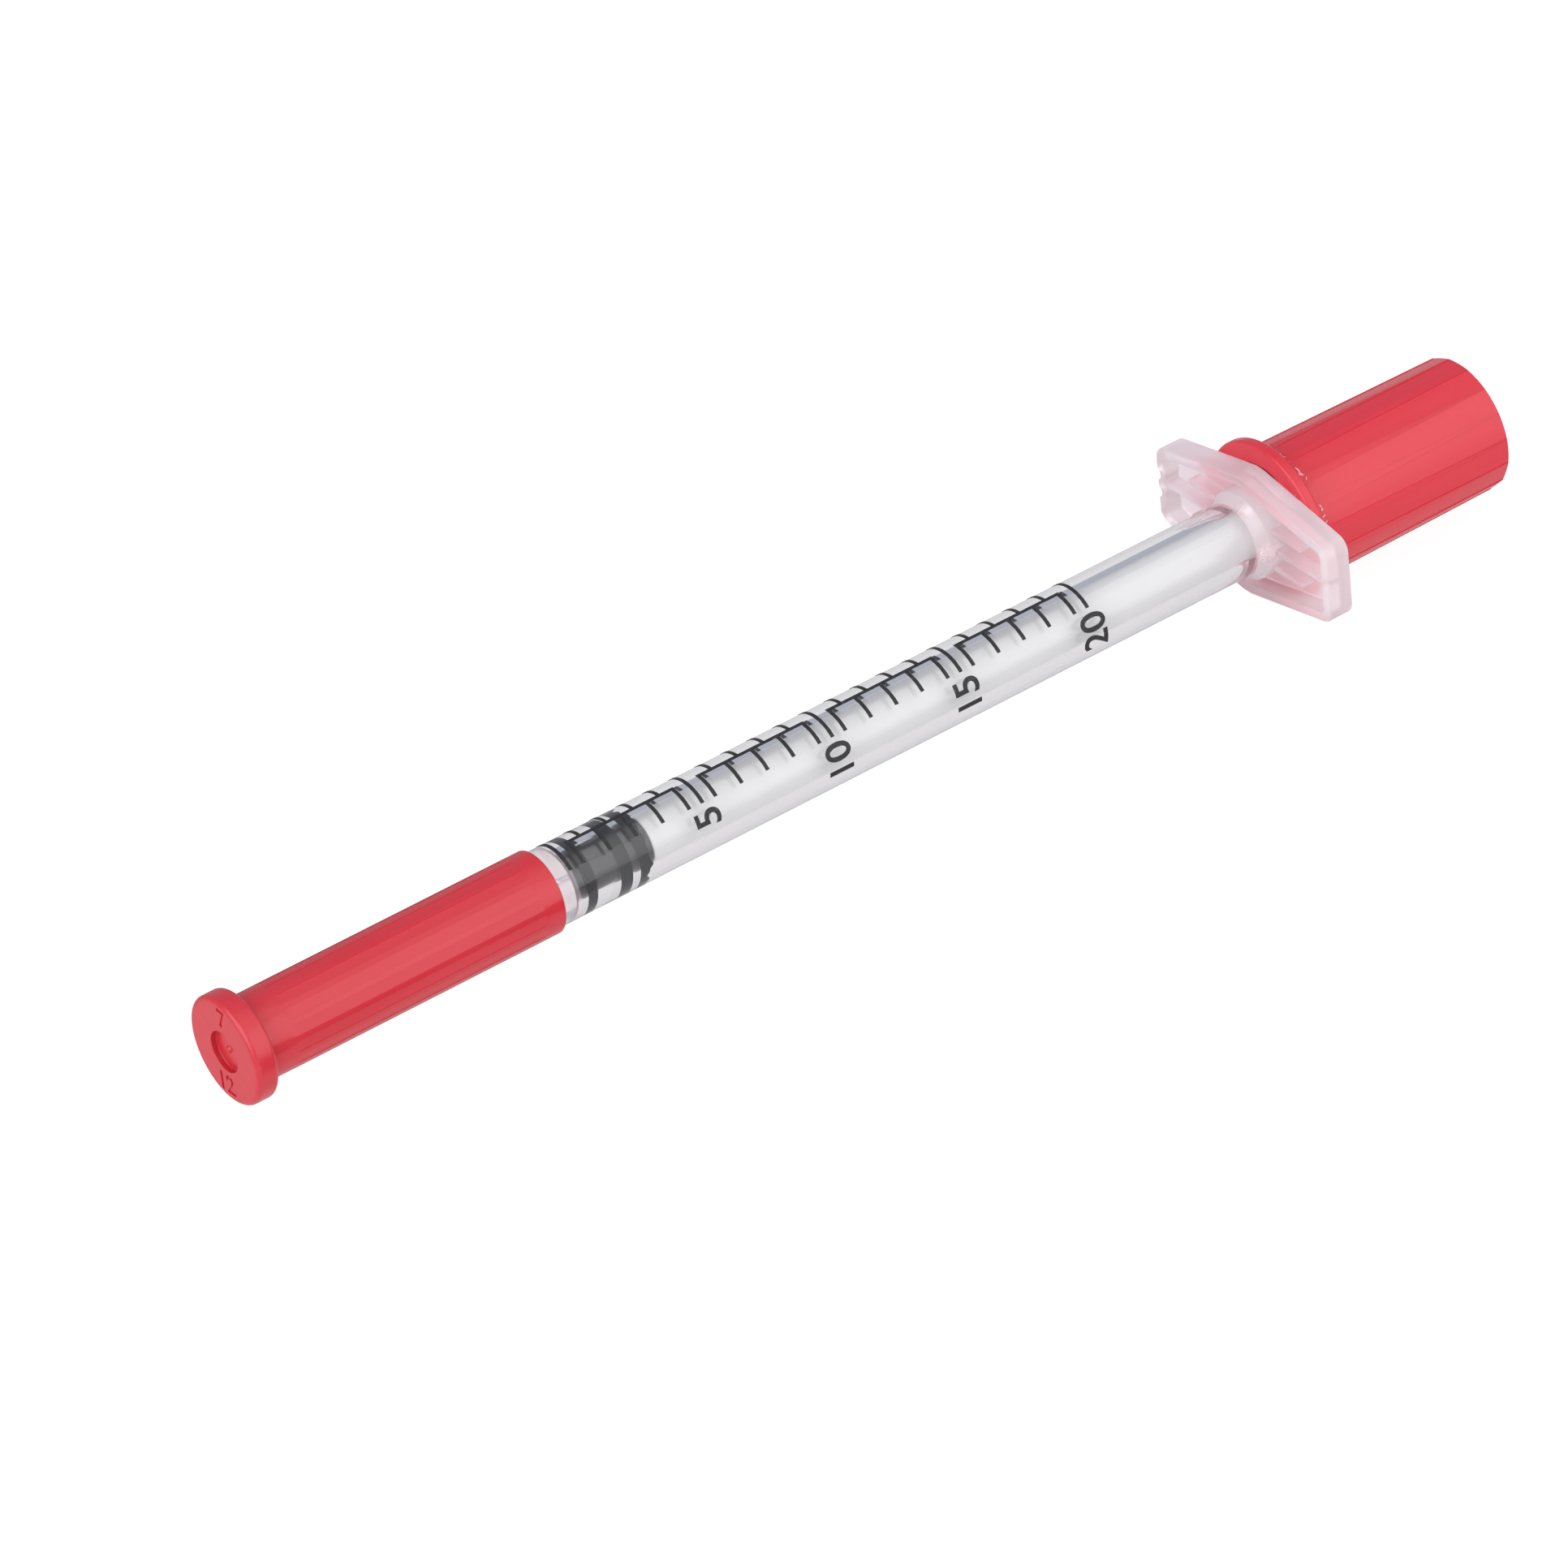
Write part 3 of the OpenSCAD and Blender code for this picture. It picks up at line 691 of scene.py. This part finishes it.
def wrapped_print(name, artwork):
    """Joins flat artwork, roughens its edges as a screen does, and wraps it on the barrel."""
    bpy.ops.object.select_all(action="DESELECT")
    for drawn in artwork:
        drawn.select_set(True)
    bpy.context.view_layer.objects.active = artwork[0]
    bpy.ops.object.join()
    piece = bpy.context.object
    piece.name = piece.data.name = name
    for point in piece.data.vertices:
        seed = Vector((point.co.x, point.co.y, 0)) * RAGGED_SCALE
        x = point.co.x + RAGGED * noise.noise(seed)
        angle = (point.co.y + RAGGED * noise.noise(seed + RAGGED_APART)) / BARREL_R
        point.co = (x, BARREL_R * math.sin(angle), AXIS_Z + BARREL_R * math.cos(angle))
    bpy.ops.object.mode_set(mode="EDIT")
    bpy.ops.mesh.select_all(action="SELECT")
    bpy.ops.mesh.remove_doubles(threshold=WELD)
    bpy.ops.object.mode_set(mode="OBJECT")
    apply_modifier(piece, "SOLIDIFY", thickness=INK_T, offset=1)
    return piece


def scale_artwork():
    """All lines of the scale, flat: X along the barrel from the zero line and Y across its top."""
    half = LINE_W / 2
    lines = []
    for unit in range(0, UNITS + 1, LONG_EVERY):
        x = ZERO_X + unit * UNIT_LEN
        lines.append(printed_line(x - half, x + half, -LINE_REACH, LINE_REACH))
    for unit in range(0, UNITS, LONG_EVERY):
        start = ZERO_X + (unit + 0.5) * UNIT_LEN
        end = start + (LONG_EVERY - 1) * UNIT_LEN
        lines.append(printed_line(start - half, end + half, -half, half))
        for k in range(LONG_EVERY):
            x = start + k * UNIT_LEN
            lines.append(printed_line(x - half, x + half, -LINE_REACH, -half))
        for k in range(1, LONG_EVERY):
            x = start + (k - 0.5) * UNIT_LEN
            lines.append(printed_line(x - half, x + half, half, LINE_REACH))
    return lines


def ink():
    """Matt black ink with the pale pinholes that the screen leaves."""
    finish, nodes, links, shader, skin = moulded(
        "black_ink", grain_scale=9000, grain_depth=0.35, flow_depth=0.0, roughness=0.55, spread=0.1
    )
    place = nodes["Texture Coordinate"]
    holes = nodes.new("ShaderNodeTexNoise")
    holes.inputs["Scale"].default_value = PINHOLE_SCALE
    holes.inputs["Detail"].default_value = 2.0
    edge = nodes.new("ShaderNodeMapRange")
    edge.inputs["From Min"].default_value, edge.inputs["From Max"].default_value = PINHOLE_EDGE
    colour = mixed_colour(nodes, links, edge.outputs["Result"], INK_COLOUR, INK_WORN)
    links.new(place.outputs["Object"], holes.inputs["Vector"])
    links.new(holes.outputs["Fac"], edge.inputs["Value"])
    links.new(colour, shader.inputs["Base Color"])
    return finish


INK = ink()
scale_lines = wrapped_print("scale_lines", scale_artwork())
finish_piece(scale_lines, "barrel", ["scale_print"], INK)
numbers = wrapped_print("scale_numbers", [
    printed_number(str(unit), ZERO_X + unit * UNIT_LEN)
    for unit in range(LONG_EVERY, UNITS + 1, LONG_EVERY)
])
finish_piece(numbers, "barrel", [], INK)

# Needle. Thin stainless tube, drawn and ground to a long bevel with two side cuts at its point, and
# fixed in the hub with the adhesive bead.
NEEDLE_R = 0.33 / 2
NEEDLE_BORE_R = 0.18 / 2
NEEDLE_AROUND = 48
BEVEL_ANGLE = 14
LANCET_ANGLE = 20
LANCET_TURN = 35
LANCET_BACK = 0.28
WHEEL_SIZE = 3.0
STEEL_COLOUR = (0.62, 0.63, 0.65, 1)


def needle_tube():
    """The tube, with its point ground on three planes."""
    tip_x, end_x = needle_low.x, needle_high.x
    profile = [
        (tip_x, NEEDLE_BORE_R), (tip_x, NEEDLE_R), (end_x, NEEDLE_R),
        (end_x, NEEDLE_BORE_R), (tip_x, NEEDLE_BORE_R),
    ]
    tube = turned("needle_tube", profile, NEEDLE_AROUND)
    side_cuts = [(LANCET_TURN, LANCET_ANGLE, LANCET_BACK), (-LANCET_TURN, LANCET_ANGLE, LANCET_BACK)]
    for spin, lean, back_off in [(0, BEVEL_ANGLE, 0)] + side_cuts:
        bpy.ops.object.select_all(action="DESELECT")
        bpy.ops.mesh.primitive_cube_add(size=WHEEL_SIZE)
        wheel = bpy.context.object
        wheel.data.transform(Matrix.Translation((0, 0, WHEEL_SIZE / 2)))
        wheel.data.transform(Matrix.Rotation(-math.radians(lean), 4, "Y"))
        wheel.data.transform(Matrix.Translation((-back_off, 0, -NEEDLE_R)))
        wheel.data.transform(Matrix.Rotation(math.radians(spin), 4, "X"))
        wheel.data.transform(Matrix.Translation((tip_x, 0, AXIS_Z)))
        combine(tube, wheel, "DIFFERENCE")
    return tube


def drawn_steel():
    """Bright stainless steel with fine lines along its length."""
    finish, nodes, links, shader, skin = moulded(
        "needle_steel", grain_scale=9000, grain_depth=0.05, flow_depth=0.5, roughness=0.2, spread=0.2
    )
    shader.inputs["Base Color"].default_value = STEEL_COLOUR
    shader.inputs["Metallic"].default_value = 1.0
    return finish


finish_piece(needle_tube(), "barrel", ["needle"], drawn_steel())

# Adhesive. A bead of slightly amber resin, run into the hub's cup as a liquid and cured there. It
# climbs the needle a little and holds it in the hub.
glue_low, glue_high = box_mm("needle_adhesive")
GLUE_AROUND = 64
GLUE_GAP = 0.01
GLUE_STEPS = 8
GLUE_HOLLOW = 2.2
RESIN_IOR = 1.5
RESIN_CLEAR = 0.6
GLUE_COLOUR = (0.90, 0.84, 0.66, 1)


def glue_bead():
    """The bead, with a hollow slope where it wets the needle."""
    inner, outer = NEEDLE_R + GLUE_GAP, CUP_R - GLUE_GAP
    rise = HUB_X - glue_low.x
    shares = [i / GLUE_STEPS for i in range(GLUE_STEPS + 1)]
    slope = [(HUB_X - rise * (1 - t) ** GLUE_HOLLOW, inner + (outer - inner) * t) for t in shares]
    profile = slope + [(glue_high.x, outer), (glue_high.x, inner), slope[0]]
    return turned("glue_bead", profile, GLUE_AROUND)


def cured_resin():
    """Clear amber resin."""
    finish, nodes, links, shader, skin = moulded(
        "cured_resin", grain_scale=3000, grain_depth=0.1, flow_depth=0.0, roughness=0.12, spread=0.05
    )
    shader.inputs["Base Color"].default_value = GLUE_COLOUR
    shader.inputs["IOR"].default_value = RESIN_IOR
    shader.inputs["Transmission Weight"].default_value = RESIN_CLEAR
    return finish


finish_piece(glue_bead(), "barrel", ["needle_adhesive"], cured_resin())

# Needle shield. Red polyethylene cap, moulded with a flanged closed end, pushed onto the nose. Its
# sixteen long flats give grip; the end has a shallow dimple with the gate's mark.
SHIELD_R = 6.41 / 2
SHIELD_BORE_R = 3.8 / 2
SHIELD_FIT = 0.02
SHIELD_FLANGE_T = 1.8
SHIELD_END_T = 1.7
SHIELD_FLANGE_ROUND = 0.4
SHIELD_RIM_ROUND = 0.12
DIMPLE_R = 3.2 / 2
DIMPLE_DEPTH = 0.45
GATE_R = 0.6 / 2
GATE_H = 0.2
GATE_SHAPE = [(1, 0), (0.9, 0.45), (0.5, 0.8), (0, 1)]
NECK_LEN = 1.6
SHIELD_LAND = 1.0
FLATS = 16
FLAT_SHARE = 0.69
FLAT_HALF = math.radians(360 / FLATS * FLAT_SHARE / 2)
CROWN_CUTS = (-0.3, -0.1, 0.1, 0.3)
FLAT_RUNOUT = 0.9
RUNOUT_CUT = 0.2
SHIELD_FLAT_STEP = 0.025
CAVITY_NUMBER_SIZE = 2.1
CAVITY_NUMBER_BOLD = 0.045
CAVITY_NUMBER_DEPTH = 0.09
CAVITY_NUMBER_IN = 0.05
CAVITY_NUMBER_ASIDE = 0.1
RED_IOR = 1.53
SHIELD_RED = [(0.50, 0.017, 0.027, 1), (0.57, 0.027, 0.042, 1)]


def flat_cutter(start, end, step, crown, runout_start, runout_end):
    """A block that cuts one flat into the top of a tube, a little below the chord so that its edges
    stay crisp, and that can run out to the tube's surface. start and end hold x, the tube's radius
    there and half the angle that the flat takes. The crown is the share of the tube's own curve that
    the flat keeps across its width, at its start and at its end."""
    bpy.ops.object.select_all(action="DESELECT")
    bpy.ops.mesh.primitive_cube_add(size=1)
    block = bpy.context.object
    bpy.ops.object.mode_set(mode="EDIT")
    for cut_x in (-RUNOUT_CUT, RUNOUT_CUT):
        bpy.ops.mesh.select_all(action="SELECT")
        bpy.ops.mesh.bisect(plane_co=(cut_x, 0, 0), plane_no=(1, 0, 0))
    for cut_y in CROWN_CUTS if any(crown) else ():
        bpy.ops.mesh.select_all(action="SELECT")
        bpy.ops.mesh.bisect(plane_co=(0, cut_y, 0), plane_no=(0, 1, 0))
    bpy.ops.object.mode_set(mode="OBJECT")
    deep_start = start[1] * math.cos(start[2]) - step
    deep_end = end[1] * math.cos(end[2]) - step
    stations = {
        -0.5: (start[0], start[1] + step if runout_start else deep_start, start, crown[0]),
        -RUNOUT_CUT: (start[0] + FLAT_RUNOUT, deep_start, start, crown[0]),
        RUNOUT_CUT: (end[0] - FLAT_RUNOUT, deep_end, end, crown[1]),
        0.5: (end[0], end[1] + step if runout_end else deep_end, end, crown[1]),
    }
    for point in block.data.vertices:
        key = min(stations, key=lambda s: abs(s - point.co.x))
        x, low, (_, radius, half), share = stations[key]
        bulge = share * radius * (1 - math.cos(half)) * (1 - (2 * point.co.y) ** 2)
        z = low + bulge if point.co.z < 0 else radius + 1
        point.co = (x, radius * math.sin(half) * 2 * point.co.y, z)
    return block


def cut_flats(piece, *flat):
    """Cuts the grip flats, each made by flat_cutter from the same values, all around a piece."""
    cutters = []
    for i in range(FLATS):
        block = flat_cutter(*flat)
        block.data.transform(Matrix.Rotation(2 * math.pi * i / FLATS, 4, "X"))
        block.data.transform(Matrix.Translation((0, 0, AXIS_Z)))
        cutters.append(block)
    bpy.ops.object.select_all(action="DESELECT")
    for block in cutters:
        block.select_set(True)
    bpy.context.view_layer.objects.active = cutters[0]
    bpy.ops.object.join()
    apply_modifier(piece, "BOOLEAN", object=bpy.context.object, operation="DIFFERENCE", use_self=True)
    bpy.data.objects.remove(cutters[0], do_unlink=True)


def cavity_number(text, x, y, z):
    """A plain mould-cavity number as a block to sink into an end face that looks along -X."""
    number = plain_number(text, CAVITY_NUMBER_SIZE, CAVITY_NUMBER_BOLD, "CENTER", CAVITY_NUMBER_DEPTH)
    number.data.transform(Matrix(((0, 0, -1), (-1, 0, 0), (0, 1, 0))).to_4x4())
    number.data.transform(Matrix.Translation((x, y, z)))
    bpy.ops.object.mode_set(mode="EDIT")
    bpy.ops.mesh.select_all(action="SELECT")
    bpy.ops.mesh.remove_doubles(threshold=WELD)
    bpy.ops.mesh.normals_make_consistent(inside=False)
    bpy.ops.object.mode_set(mode="OBJECT")
    return number


def shield_body():
    """The shield, turned, then given its flats and cavity numbers."""
    end_x, rim_x = shield_low.x, shield_high.x + FACE_GAP - FACE_GAP_SHOWN
    big, small, edge = SHIELD_FLANGE_ROUND, SHIELD_FLANGE_ROUND / 3, SHIELD_FLANGE_ROUND / 12
    flange_r = (shield_high.y - shield_low.y) / 2
    seat_r = NOSE_R + SHIELD_FIT
    seat_x = shield_high.x - NOSE_LEN - FACE_GAP
    floor_x = end_x + DIMPLE_DEPTH
    profile = [(floor_x - GATE_H * up, GATE_R * out) for up, out in GATE_SHAPE]
    profile += [(floor_x, DIMPLE_R - edge), (floor_x - edge, DIMPLE_R)]
    profile += arc(end_x + edge, DIMPLE_R + edge, edge, 270, 180, steps=3)
    profile += arc(end_x + big, flange_r - big, big, 180, 90)
    profile += arc(end_x + SHIELD_FLANGE_T - big, flange_r - big, big, 90, 0)
    profile += arc(end_x + SHIELD_FLANGE_T + small, SHIELD_R + small, small, 180, 270)
    profile += arc(rim_x - SHIELD_RIM_ROUND, SHIELD_R - SHIELD_RIM_ROUND, SHIELD_RIM_ROUND, 90, 0)
    profile += [(rim_x, seat_r + small), (rim_x - small, seat_r), (seat_x, seat_r)]
    profile += [(seat_x - small, SHIELD_BORE_R), (end_x + SHIELD_END_T + small, SHIELD_BORE_R)]
    profile += [(end_x + SHIELD_END_T, SHIELD_BORE_R - small), (end_x + SHIELD_END_T, 0)]
    shield = turned("shield_cap", profile)
    flats_x = end_x + SHIELD_FLANGE_T + NECK_LEN
    start = (flats_x, SHIELD_R, FLAT_HALF)
    end = (rim_x - SHIELD_LAND, SHIELD_R, FLAT_HALF)
    cut_flats(shield, start, end, SHIELD_FLAT_STEP, (0, 0), True, True)
    place = (DIMPLE_R + flange_r) / 2 - CAVITY_NUMBER_IN
    for text, side in (("7", 1), ("12", -1)):
        number = cavity_number(text, end_x, -side * place * CAVITY_NUMBER_ASIDE, AXIS_Z + side * place)
        combine(shield, number, "DIFFERENCE")
    return shield


def red_plastic(name, shades):
    """Glossy red polyethylene, a little paler where the melt flowed thin."""
    finish, nodes, links, shader, skin = moulded(
        name, grain_scale=2200, grain_depth=0.08, flow_depth=0.2, roughness=0.25, spread=0.12
    )
    colour = mixed_colour(nodes, links, skin.outputs["Flow"], *shades)
    links.new(colour, shader.inputs["Base Color"])
    shader.inputs["IOR"].default_value = RED_IOR
    return finish, nodes, links, shader, skin, colour


shield_red = red_plastic("red_polyethylene", SHIELD_RED)[0]
finish_piece(shield_body(), "needle_shield", ["needle_shield"], shield_red)

# Stopper. Black rubber with three sealing rings, snapped over the rod's head. Each ring is squeezed
# flat against the bore, and shows black through the barrel where it touches.
stopper_low, stopper_high = box_mm("stopper")
STOPPER_R = 3.46 / 2
RINGS = [
    # distance from the front, width
    (0.8, 0.95), (3.65, 1.15), (5.35, 1.05),
]
RING_FLANK = [
    # shares of the ring's height: inwards from its edge, outwards
    (0, 0), (0.2, 0.6), (0.5, 1),
]
RING_SQUEEZE = 0.012
RING_WAVE = 0.45
RING_WAVE_SCALE = 4
RING_WAVE_SEED = 1.7
STOPPER_ROUND = 0.12
HEAD_R = 2.1 / 2
HEAD_LEN = 1.5
NECK_R = 1.3 / 2
NECK_LEN_IN = 1.6
SNAP_FIT = 0.04
RUBBER_COLOUR = (0.018, 0.018, 0.022, 1)
RUBBER_WORN = (0.040, 0.040, 0.046, 1)


def stopper_body():
    """The stopper with its rings and the hollow for the rod's head."""
    front, rear = stopper_low.x, stopper_high.x
    rise = BORE_R + RING_SQUEEZE - STOPPER_R
    small = STOPPER_ROUND
    profile = [(front, 0)]
    profile += arc(front + small, STOPPER_R - small, small, 180, 90, steps=3)
    for at, width in RINGS:
        low, high = front + at, front + at + width
        profile += [(low + rise * along, STOPPER_R + rise * out) for along, out in RING_FLANK]
        profile += [(high - rise * along, STOPPER_R + rise * out) for along, out in reversed(RING_FLANK)]
    profile += arc(rear - small, STOPPER_R - small, small, 90, 0, steps=3)
    profile += [(rear, NECK_R + SNAP_FIT), (rear - NECK_LEN_IN + SNAP_FIT, NECK_R + SNAP_FIT)]
    head_front = rear - NECK_LEN_IN - HEAD_LEN
    profile += [(rear - NECK_LEN_IN + SNAP_FIT, HEAD_R + SNAP_FIT)]
    profile += [(head_front - SNAP_FIT, HEAD_R + SNAP_FIT), (head_front - SNAP_FIT, 0)]
    stopper = turned("rubber_stopper", profile)
    last_at, last_w = RINGS[-1]
    high = front + last_at + last_w + WELD
    low = high - rise * RING_FLANK[-1][0] - 2 * WELD
    for point in stopper.data.vertices:
        if low < point.co.x < high:
            angle = math.atan2(point.co.y, point.co.z - AXIS_Z)
            around = Vector((math.cos(angle), math.sin(angle), 0)) * RING_WAVE_SCALE
            point.co.x += RING_WAVE * noise.noise(around + Vector((0, 0, RING_WAVE_SEED)))
    return stopper


def rubber():
    """Matt black rubber with a faint bloom."""
    finish, nodes, links, shader, skin = moulded(
        "black_rubber", grain_scale=2600, grain_depth=0.3, flow_depth=0.0, roughness=0.42, spread=0.15
    )
    colour = mixed_colour(nodes, links, skin.outputs["Flow"], RUBBER_COLOUR, RUBBER_WORN)
    links.new(colour, shader.inputs["Base Color"])
    return finish


finish_piece(stopper_body(), "stopper", ["stopper"], rubber())

# Plunger rod. One moulding of white polypropylene: a snap head that the stopper holds, a round rod
# and a dished thumb rest that the plunger cap is pushed over.
rod_low, rod_high = box_mm("plunger_rod")
ROD_R = 3.5 / 2
THUMB_T = 1.4
FLARE = [
    # distance before the thumb rest, radius
    (2.2, ROD_R), (1.6, 1.83), (0.8, 2.225), (0.15, 2.68), (0, 2.9),
]
THUMB_HOLLOW_R = 6.6 / 2
THUMB_HOLLOW_DEPTH = 0.4
WHITE_COLOUR = (0.695, 0.69, 0.675, 1)
WHITE_SHADE = (0.65, 0.645, 0.635, 1)


def rod_body():
    """Snap head, neck, rod, flare and thumb rest."""
    head_x = stopper_high.x - NECK_LEN_IN - HEAD_LEN
    front_x = stopper_high.x + SNAP_FIT
    rear_x = rod_high.x
    thumb_x = rear_x - THUMB_T
    thumb_r = (rod_high.y - rod_low.y) / 2
    small = MOULD_ROUND
    profile = [(head_x, 0), (head_x, NECK_R - small / 2), (head_x + small / 2, NECK_R)]
    profile += [(head_x + HEAD_LEN / 2, HEAD_R), (head_x + HEAD_LEN - small / 2, HEAD_R)]
    profile += [(head_x + HEAD_LEN, HEAD_R - small / 2), (head_x + HEAD_LEN, NECK_R), (front_x, NECK_R)]
    profile += arc(front_x + small, ROD_R - small, small, 180, 90)
    profile += [(thumb_x - before, radius) for before, radius in FLARE]
    profile += arc(thumb_x + 2 * small, thumb_r - 2 * small, 2 * small, 180, 90)
    profile += arc(rear_x - 2 * small, thumb_r - 2 * small, 2 * small, 90, 0)
    profile += [(rear_x, THUMB_HOLLOW_R + small), (rear_x - small / 2, THUMB_HOLLOW_R)]
    profile += [(rear_x - THUMB_HOLLOW_DEPTH + small, THUMB_HOLLOW_R - small)]
    profile += [(rear_x - THUMB_HOLLOW_DEPTH, THUMB_HOLLOW_R - 3 * small), (rear_x - THUMB_HOLLOW_DEPTH, 0)]
    return turned("white_rod", profile)


def white_plastic():
    """White polypropylene, softly mottled."""
    finish, nodes, links, shader, skin = moulded(
        "white_polypropylene", grain_scale=1800, grain_depth=0.15, flow_depth=0.2,
        roughness=0.36, spread=0.15,
    )
    colour = mixed_colour(nodes, links, skin.outputs["Flow"], WHITE_SHADE, WHITE_COLOUR)
    links.new(colour, shader.inputs["Base Color"])
    return finish


finish_piece(rod_body(), "plunger", ["plunger_rod"], white_plastic())

# Plunger cap. Red polyethylene like the shield, with a flange at its open end and sixteen flats up
# to its closed end. It grips the thumb rest inside and keeps the plunger from moving.
CAP_FLANGE_T = 0.9
CAP_FLANGE_ROUND = 0.25
CAP_BASE_R = 10.9 / 2
CAP_END_R = 10.56 / 2
CAP_END_T = 1.1
CAP_END_ROUND = 0.18
CAP_FLAT_STEP = 0.045
CAP_FLAT_CROWN = (0.6, 0.2)
CAP_LAND = 0.5
CAP_LEAD = 0.6
CAP_END_FLAT_SHARE = 0.98
CAP_END_FLAT_HALF = math.radians(360 / FLATS * CAP_END_FLAT_SHARE / 2)
THUMB_FIT = 0.04
MARK_FROM_ROOT = 0.5
MARK_ROWS_APART = 0.5
MARK_WANDER = 1.3
MARK_W = 0.11
MARK_WANDER_SCALE = 1300.0
MARK_BREAK_SCALE = 1600.0
MARK_BREAKS = (0.47, 0.54)
MARK_HEIGHT = 0.06
# Pale pink of the flow lines: partly their own colour, partly a painted glint.
MARK_COLOUR_AND_GLINT = (0.92, 0.36, 0.40, 1)
CAP_RED = [(0.57, 0.018, 0.032, 1), (0.65, 0.030, 0.050, 1)]


def cap_body():
    """The cap, turned, then given its flats."""
    mouth_x, end_x = FLANGE_BACK_X + FACE_GAP_SHOWN, cap_high.x
    flange_r = (cap_high.y - cap_low.y) / 2
    cavity_r = (rod_high.y - rod_low.y) / 2 + THUMB_FIT
    tube_x = mouth_x + CAP_FLANGE_T
    small, big = CAP_FLANGE_ROUND, CAP_END_ROUND
    inner_x = end_x - CAP_END_T
    profile = [(inner_x, 0), (inner_x, cavity_r - big), (inner_x - big, cavity_r)]
    profile += [(mouth_x + CAP_LEAD, cavity_r), (mouth_x, cavity_r + CAP_LEAD)]
    profile += arc(mouth_x + small, flange_r - small, small, 180, 90)
    profile += arc(tube_x - small, flange_r - small, small, 90, 0)
    profile += arc(tube_x + small, CAP_BASE_R + small, small, 180, 270)
    profile += arc(end_x - big, CAP_END_R - big, big, 90, 0)
    profile += [(end_x, 0)]
    cap = turned("thumb_cap", profile)
    lean = (CAP_BASE_R - CAP_END_R) / (end_x - tube_x)
    start = (tube_x + CAP_LAND, CAP_BASE_R - lean * CAP_LAND, FLAT_HALF)
    end = (end_x + SINK, CAP_END_R - lean * SINK, CAP_END_FLAT_HALF)
    cut_flats(cap, start, end, CAP_FLAT_STEP, CAP_FLAT_CROWN, True, False)
    return cap


def marked_red(root_x):
    """The same red, with the two broken lines that the flowing melt left around the flange's root. Their
    pale pink is partly their own colour and partly a painted glint on their raised ridges.
    """
    finish, nodes, links, shader, skin, colour = red_plastic("red_polyethylene_marked", CAP_RED)
    place = nodes["Texture Coordinate"]
    split = nodes.new("ShaderNodeSeparateXYZ")
    wander = nodes.new("ShaderNodeTexNoise")
    wander.inputs["Scale"].default_value = MARK_WANDER_SCALE
    wander.inputs["Detail"].default_value = 2.0
    line = calculation(nodes, "ShaderNodeMath", "MULTIPLY_ADD", MARK_WANDER * MM)
    middle_x = root_x + MARK_FROM_ROOT + MARK_WANDER / 2
    away = calculation(nodes, "ShaderNodeMath", "SUBTRACT", middle_x * MM)
    size = calculation(nodes, "ShaderNodeMath", "ABSOLUTE")
    row = calculation(nodes, "ShaderNodeMath", "SUBTRACT", MARK_ROWS_APART / 2 * MM)
    off_row = calculation(nodes, "ShaderNodeMath", "ABSOLUTE")
    thin = nodes.new("ShaderNodeMapRange")
    thin.inputs["From Min"].default_value = MARK_W * MM
    thin.inputs["From Max"].default_value = MARK_W * MM / 3
    specks = nodes.new("ShaderNodeTexNoise")
    specks.inputs["Scale"].default_value = MARK_BREAK_SCALE
    broken = nodes.new("ShaderNodeMapRange")
    broken.inputs["From Min"].default_value, broken.inputs["From Max"].default_value = MARK_BREAKS
    mark = calculation(nodes, "ShaderNodeMath", "MULTIPLY")
    # Pale pink on the flow lines, partly a painted glint.
    pale = mixed_colour(nodes, links, mark.outputs[0], colour, MARK_COLOUR_AND_GLINT)
    raised = nodes.new("ShaderNodeBump")
    raised.inputs["Distance"].default_value = MARK_HEIGHT * MM
    raised.inputs["Strength"].default_value = 1.0
    for reader in (split, wander, specks):
        links.new(place.outputs["Object"], reader.inputs["Vector"])
    links.new(wander.outputs["Fac"], line.inputs[0])
    links.new(split.outputs["X"], line.inputs[2])
    links.new(line.outputs[0], away.inputs[0])
    links.new(away.outputs[0], size.inputs[0])
    links.new(size.outputs[0], row.inputs[0])
    links.new(row.outputs[0], off_row.inputs[0])
    links.new(off_row.outputs[0], thin.inputs["Value"])
    links.new(specks.outputs["Fac"], broken.inputs["Value"])
    links.new(thin.outputs["Result"], mark.inputs[0])
    links.new(broken.outputs["Result"], mark.inputs[1])
    links.new(pale, shader.inputs["Base Color"])
    links.new(mark.outputs[0], raised.inputs["Height"])
    links.new(skin.outputs["Normal"], raised.inputs["Normal"])
    links.new(raised.outputs["Normal"], shader.inputs["Normal"])
    return finish


finish_piece(cap_body(), "plunger_cap", ["plunger_cap"], marked_red(cap_low.x + CAP_FLANGE_T))

bpy.context.scene.view_settings.view_transform = "Standard"
